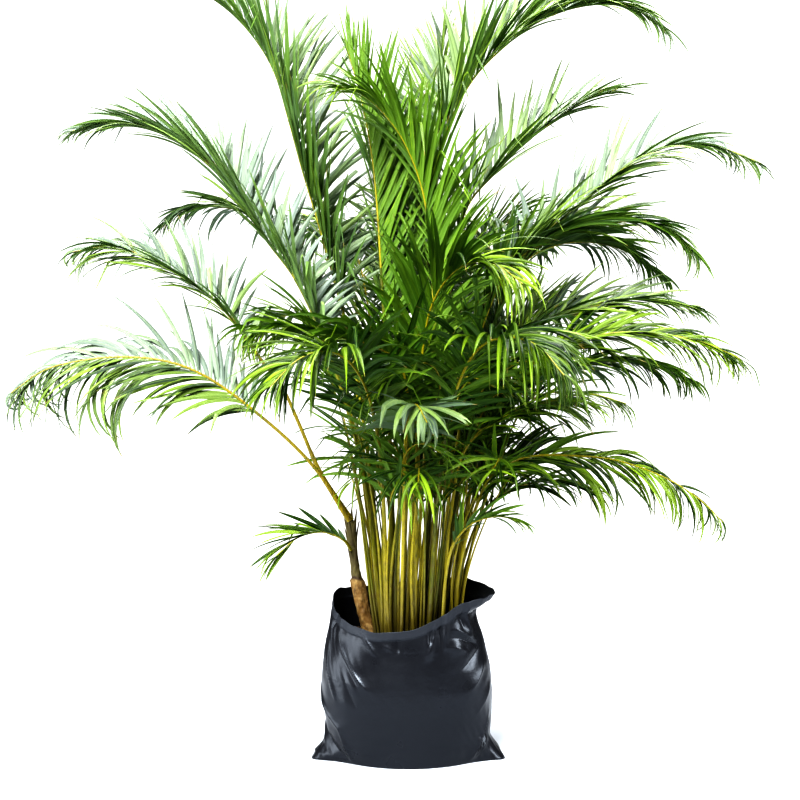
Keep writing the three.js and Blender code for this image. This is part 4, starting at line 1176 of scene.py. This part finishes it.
def bag_place(angle, share, inset):
    """A ring of points on the film at a share of its height."""
    boxy = lambda v: np.sign(v) * np.abs(v) ** BOXY
    across, ahead = np.cos(angle), np.sin(angle)
    belly = 1 - 0.035 * math.cos(2 * math.pi * share) - 0.03 * share
    to_side = np.abs(across) ** 8
    low = max(0, 1 - share / EAR_HEIGHT) ** 1.5
    lip = LIP_FLARE * np.maximum(0, across) ** 6 * above(share, LIP_FROM)
    x = boxy(across) * (HALF_WIDTH_BAG * belly + EAR * to_side * low + lip - inset)
    right, left = (np.interp(share, NECK_SHARES, neck) for neck in (NECK_RIGHT, NECK_LEFT))
    x += left * np.maximum(0, -across) ** 2.5 - right * np.maximum(0, across) ** 2.5
    y = boxy(ahead) * (HALF_DEPTH_BAG * belly * (1 - 0.3 * low * np.abs(across) ** 1.5) - inset)
    y *= 1 - PINCH * np.maximum(0, -across) ** 2 * above(share, PINCH_FROM)
    y -= EAR_AHEAD * to_side * low
    return x, y, share * mouth(angle)

# %% Folds in the film
# Each fold is a crease between two places (x, z) in millimetres as seen from the front, first
# on the front film, then on the back. Then come its half width and how far it stands out.
FRONT_FOLDS = [
    ((-127, 214), (-67, 126), 5, 4.6), ((-138, 196), (-118, 108), 5, 6.0), ((-112, 180), (-84, 132), 8, -3.0),
    ((-146, 122), (-115, 58), 6, 5.5), ((-115, 58), (-95, 4), 5, 5.5), ((-143, 62), (-106, 12), 8, -6.0),
    ((-92, 233), (-56, 183), 6, 4.5), ((-123, 262), (-138, 216), 6, -5.0), ((-117, 256), (-124, 214), 6, 4.5),
    ((-147, 54), (-128, 10), 4, 5.0), ((-160, 12), (-100, 5), 6, 3.0), ((-110, 150), (-84, 96), 10, -3.0),
    ((-19, 215), (-17, 188), 4, -5.0), ((-43, 199), (-22, 188), 4, 1.5), ((-13, 212), (-8, 190), 4, 2.5),
    ((29, 214), (34, 177), 4, 4.0), ((50, 226), (34, 177), 4, 4.5), ((41, 222), (35, 190), 4, -4.5),
    ((68, 243), (64, 190), 5, 7.0), ((67, 188), (100, 183), 6, 6.0), ((58, 240), (57, 184), 5, -5.0),
    ((80, 211), (114, 203), 6, 5.0), ((76, 200), (124, 193), 5, -5.0), ((105, 251), (118, 212), 6, 5.5),
    ((93, 250), (102, 216), 5, -5.0), ((84, 248), (82, 222), 4, 4.0), ((127, 186), (91, 157), 10, -5.0),
    ((131, 166), (102, 124), 9, 4.5), ((137, 128), (112, 84), 9, 3.5), ((134, 80), (104, 6), 8, 6.5),
    ((137, 66), (117, 8), 7, -6.0), ((134, 36), (116, 12), 5, 5.0), ((152, 16), (112, 6), 5, 3.5),
    ((143, 30), (128, 10), 4, -4.0),
]
BACK_FOLDS = [
    ((-120, 240), (-70, 160), 9, 6.0), ((-95, 250), (-88, 200), 7, -4.5), ((-138, 120), (-98, 30), 9, 6.0),
    ((-60, 262), (-40, 190), 8, 4.5), ((0, 262), (14, 200), 7, -4.0), ((40, 262), (30, 196), 7, 4.5),
    ((96, 250), (72, 186), 7, 6.0), ((118, 230), (90, 196), 6, -5.0), ((130, 190), (84, 130), 10, 5.5),
    ((134, 90), (100, 14), 9, 6.0), ((138, 70), (116, 10), 7, -5.0), ((20, 120), (60, 40), 12, 3.5),
    ((-30, 130), (-70, 60), 12, -3.0),
]
HEM_SHARE = 0.935 # the rim is folded over and welded from here up
MM_PER_DEGREE = 2.2 # of turn, in the middle of the front
FOLD_POINT = 0.9 # 1 for a knife edge, 2 for a soft round fold


def on_film(x, z, front):
    """The turn in degrees and the height in the same measure of a place seen from the front."""
    across = max(-1, min(1, math.copysign(abs(x * MM / HALF_WIDTH_BAG) ** (1 / BOXY), x)))
    turn = math.acos(across) * (-1 if front else 1)
    share = z * MM / float(mouth(turn))
    return np.array([math.degrees(turn) % 360, share * RIM / MM / MM_PER_DEGREE])


CREASES = [
    (on_film(*start, front), on_film(*end, front), half / MM_PER_DEGREE, depth * MM)
    for front, folds in ((True, FRONT_FOLDS), (False, BACK_FOLDS)) for start, end, half, depth in folds
]


def fold_depth(degrees, share):
    """How far every fold together pushes the film out at these turns, at one height share."""
    total = np.zeros_like(degrees)
    for start, end, half, depth in CREASES:
        run = end - start
        away = (degrees - start[0] + 180) % 360 - 180
        rise = share * RIM / MM / MM_PER_DEGREE - start[1]
        t = np.clip((away * run[0] + rise * run[1]) / (run @ run), 0, 1)
        gap = np.hypot(away - t * run[0], rise - t * run[1])
        total += depth * np.exp(-((gap / half) ** FOLD_POINT)) * np.sin(math.pi * (0.12 + 0.76 * t))
    return total


def crinkle(degrees, share):
    """Small uneven waves over the whole film, faint in the middle of its front and its back."""
    a = np.radians(degrees)
    waves = np.sin(9 * a + 14 * share) * np.sin(5 * a - 23 * share + 1.3)
    fine = np.sin(31 * a + 9 * np.sin(7 * share + 2 * a)) * np.sin(19 * share + 3 * a)
    edge = (0.3 + 0.7 * (abs(share - 0.5) * 2) ** 2) * (0.25 + 0.75 * np.abs(np.cos(a)) ** 1.5)
    return 0.0018 * waves * edge + 0.0007 * fine * edge

# %% Build the shell, rim and lining
BAG_SIDES = 310
BAG_RINGS = 150
SMALLEST_LIP = 0.0004
HEM_STEP = 0.008
HEM_STANDS_OUT = 0.0016
HEM_STIFFNESS = 0.45 # how much of the folds the hem takes away
FLAT_FOOT = 0.04 # up to this share of the height the folds fade out
LIFTS = ((50, 0.015), (304, 0.018)) # turn in degrees, and how far the rim is raised there
LIFT_WIDTH = 25 # in degrees


def hem_at(share):
    """1 on the folded hem, 0 below it, and a short step between them."""
    return min(1.0, max(0.0, (share - HEM_SHARE) / HEM_STEP))


def bag_ring(share, inset):
    degrees = np.linspace(0, 360, BAG_SIDES, endpoint=False)
    angle = np.radians(degrees)
    x, y, z = bag_place(angle, share, inset)
    push = (fold_depth(degrees, share) + crinkle(degrees, share)) * min(1, share / FLAT_FOOT)
    hem = hem_at(share)
    push = push * (1 - HEM_STIFFNESS * hem) + HEM_STANDS_OUT * hem
    out = np.stack([np.cos(angle), np.sin(angle) * 1.2], axis=1)
    out /= np.linalg.norm(out, axis=1)[:, None]
    wave = 0.0016 * np.sin(np.radians(degrees) * 5 + 0.6) + 0.0008 * np.sin(np.radians(degrees) * 17)
    raised = sum(rise * np.exp(-(((degrees - turn) / LIFT_WIDTH) ** 2)) for turn, rise in LIFTS)
    z = z + (wave + raised) * above(share, PINCH_FROM)
    return np.stack([x + out[:, 0] * push, y + out[:, 1] * push, z], axis=1)


def bag_shell():
    shares = np.linspace(0, 1, BAG_RINGS) ** 0.9
    outer = [bag_ring(share, 0) for share in shares]
    rim = [outer[-1] * (0.9975, 0.9975, 1) + UP * SMALLEST_LIP]
    inner = [bag_ring(share, FILM) for share in shares[::-1]]
    inner[-1][:, 2] = FILM
    made = ring_mesh("palm_bag", outer + rim + inner)
    hems = [hem_at(share) for share in shares]
    values = np.repeat(hems + [1.0] + hems[::-1], BAG_SIDES)
    keep_at_points(made.data, "hem", values.tolist() + [0.0, 0.0])
    return made

# %% The finish of the film
FILM_BLACK = (0.0115, 0.012, 0.0145, 1)
HEM_GREY = (0.022, 0.024, 0.029, 1)
FILM_SHEEN = (0.80, 0.89, 1.0, 1) # film shines a little blue


def film_material():
    made, tree, shader = new_material("black_film")
    place = object_place(tree)
    dull = noise(tree, place, 14.0, 3.0)
    ripples = noise(tree, object_place(tree, (1, 1, 1.6)), 38.0, 3.0)
    pebble = noise(tree, place, 260.0, 2.0)
    hem = attribute(tree, "hem")
    colour = blend_colours(tree, hem * 0.8, FILM_BLACK, HEM_GREY)
    normal = bumped(tree, ripples, 0.2, 0.003, Normal=bumped(tree, pebble, 0.1, 0.0004))
    coat(tree, shader, colour, dull.mapped(0.35, 0.7, 0.26, 0.38) + hem * 0.2, normal)
    shader.inputs["Specular IOR Level"].default_value = 0.36
    shader.inputs["Specular Tint"].default_value = FILM_SHEEN
    return made


bag = bag_shell()
bag.data.materials.append(film_material())
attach(bag, "root")
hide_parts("bag")
print("the bag has", len(bag.data.polygons), "faces")

# %% [markdown]
# ## The soil
# A dark, crumbly mix fills the bag to a few centimetres under the rim. Its face is a
# stack of rings like the bag, with a broken heap for a top. Loose crumbs and bits of
# bark are scattered over the heap by Geometry Nodes, because hundreds of small things
# that follow a surface are what scattering is for.

# %% The heap
SOIL_SIDES = 180
SOIL_RINGS = 70
SOIL_INSET = FILM + 0.009


def heap_height(x, y):
    big = 0.003 * np.sin(x / 0.017) * np.cos(y / 0.023) + 0.002 * np.sin((x + y) / 0.011)
    small = 0.0016 * np.sin(x / 0.0042 + 2 * np.sin(y / 0.009)) * np.sin(y / 0.0051 + x / 0.013)
    return big + small


def soil_shell():
    degrees = np.linspace(0, 360, SOIL_SIDES, endpoint=False)
    angle = np.radians(degrees)
    top = SOIL_TOP - 0.003
    rings = []
    for share in np.linspace(0.0, 0.6, 10):
        x, y, z = bag_place(angle, share, SOIL_INSET)
        scale = 0.94 if share < 0.1 else 1.0
        rings.append(np.stack([x * scale, y * scale, np.maximum(z, FILM + 0.001)], axis=1))
    x, y, _ = bag_place(angle, 0.78, SOIL_INSET)
    for scale in np.linspace(1, 0.02, SOIL_RINGS):
        z = top + heap_height(x * scale, y * scale)
        rings.append(np.stack([x * scale, y * scale, z], axis=1))
    return ring_mesh("palm_soil", rings)


SOIL_DARK = (0.012, 0.008, 0.005, 1)
SOIL_BROWN = (0.06, 0.034, 0.018, 1)
SOIL_CHIP = (0.16, 0.09, 0.045, 1)


def soil_material():
    made, tree, shader = new_material("soil_mix")
    clods = noise(tree, object_place(tree), 120.0, 5.0, 0.65)
    grit = noise(tree, object_place(tree), 700.0, 2.0)
    colour = blend_colours(tree, clods.mapped(0.4, 0.65, 0.0, 1.0), SOIL_DARK, SOIL_BROWN)
    colour = blend_colours(tree, attribute(tree, "chip"), colour, SOIL_CHIP)
    coat(tree, shader, colour, 0.92, bumped(tree, clods + grit * 0.4, 0.8, 0.003))
    return made


soil_finish = soil_material()
print("finish:", soil_finish.name)
soil = soil_shell()

# %% Crumbs scattered over the heap
ANY_TURN = (6.28, 6.28, 6.28)
CRUMBS_FROM = 0.19 # the height over which crumbs lie


def crumb_tree():
    numbers = {"Density": 36000.0, "Smallest": 0.0008, "Largest": 0.0032}
    tree, given, result = new_tree("crumbs", numbers, {"Seed": 7}, ["Finish"])
    inputs = given.outputs
    seed = inputs["Seed"]
    normal, place = (Field(tree, built(tree, "GeometryNodeInput" + kind)) for kind in ("Normal", "Position"))
    upward = normal.dot((0, 0, 1)).over(0.5) * place.dot((0, 0, 1)).over(CRUMBS_FROM)
    points = built(tree, "GeometryNodeDistributePointsOnFaces", {"distribute_method": "RANDOM"},
                   Mesh=inputs["Geometry"], Selection=upward, Density=inputs["Density"], Seed=seed)
    points = store(tree, points, "chip", chance(tree, seed, 0.0, 1.0, 5).over(0.86) * 0.8)
    crumb = built(tree, "GeometryNodeMeshIcoSphere", Radius=1.0, Subdivisions=1)
    size = chance(tree, seed, inputs["Smallest"], inputs["Largest"], 3)
    spin = random_value(tree, "FLOAT_VECTOR", (0, 0, 0), ANY_TURN, 11)
    shape = random_value(tree, "FLOAT_VECTOR", (0.6, 0.6, 0.4), (1.3, 1, 0.8), 12) * size
    crumbs = built(tree, "GeometryNodeInstanceOnPoints",
                   Points=points, Instance=crumb, Rotation=spin, Scale=shape)
    both = built(tree, "GeometryNodeRealizeInstances", Geometry=joined(tree, crumbs, inputs["Geometry"]))
    wire(tree, coated(tree, both, inputs["Finish"]), result.inputs[0])
    return tree


soil = grown(soil, crumb_tree(), {"Finish": soil_finish})
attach(soil, "root")
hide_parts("soil")
print("the soil has", len(soil.data.polygons), "faces")
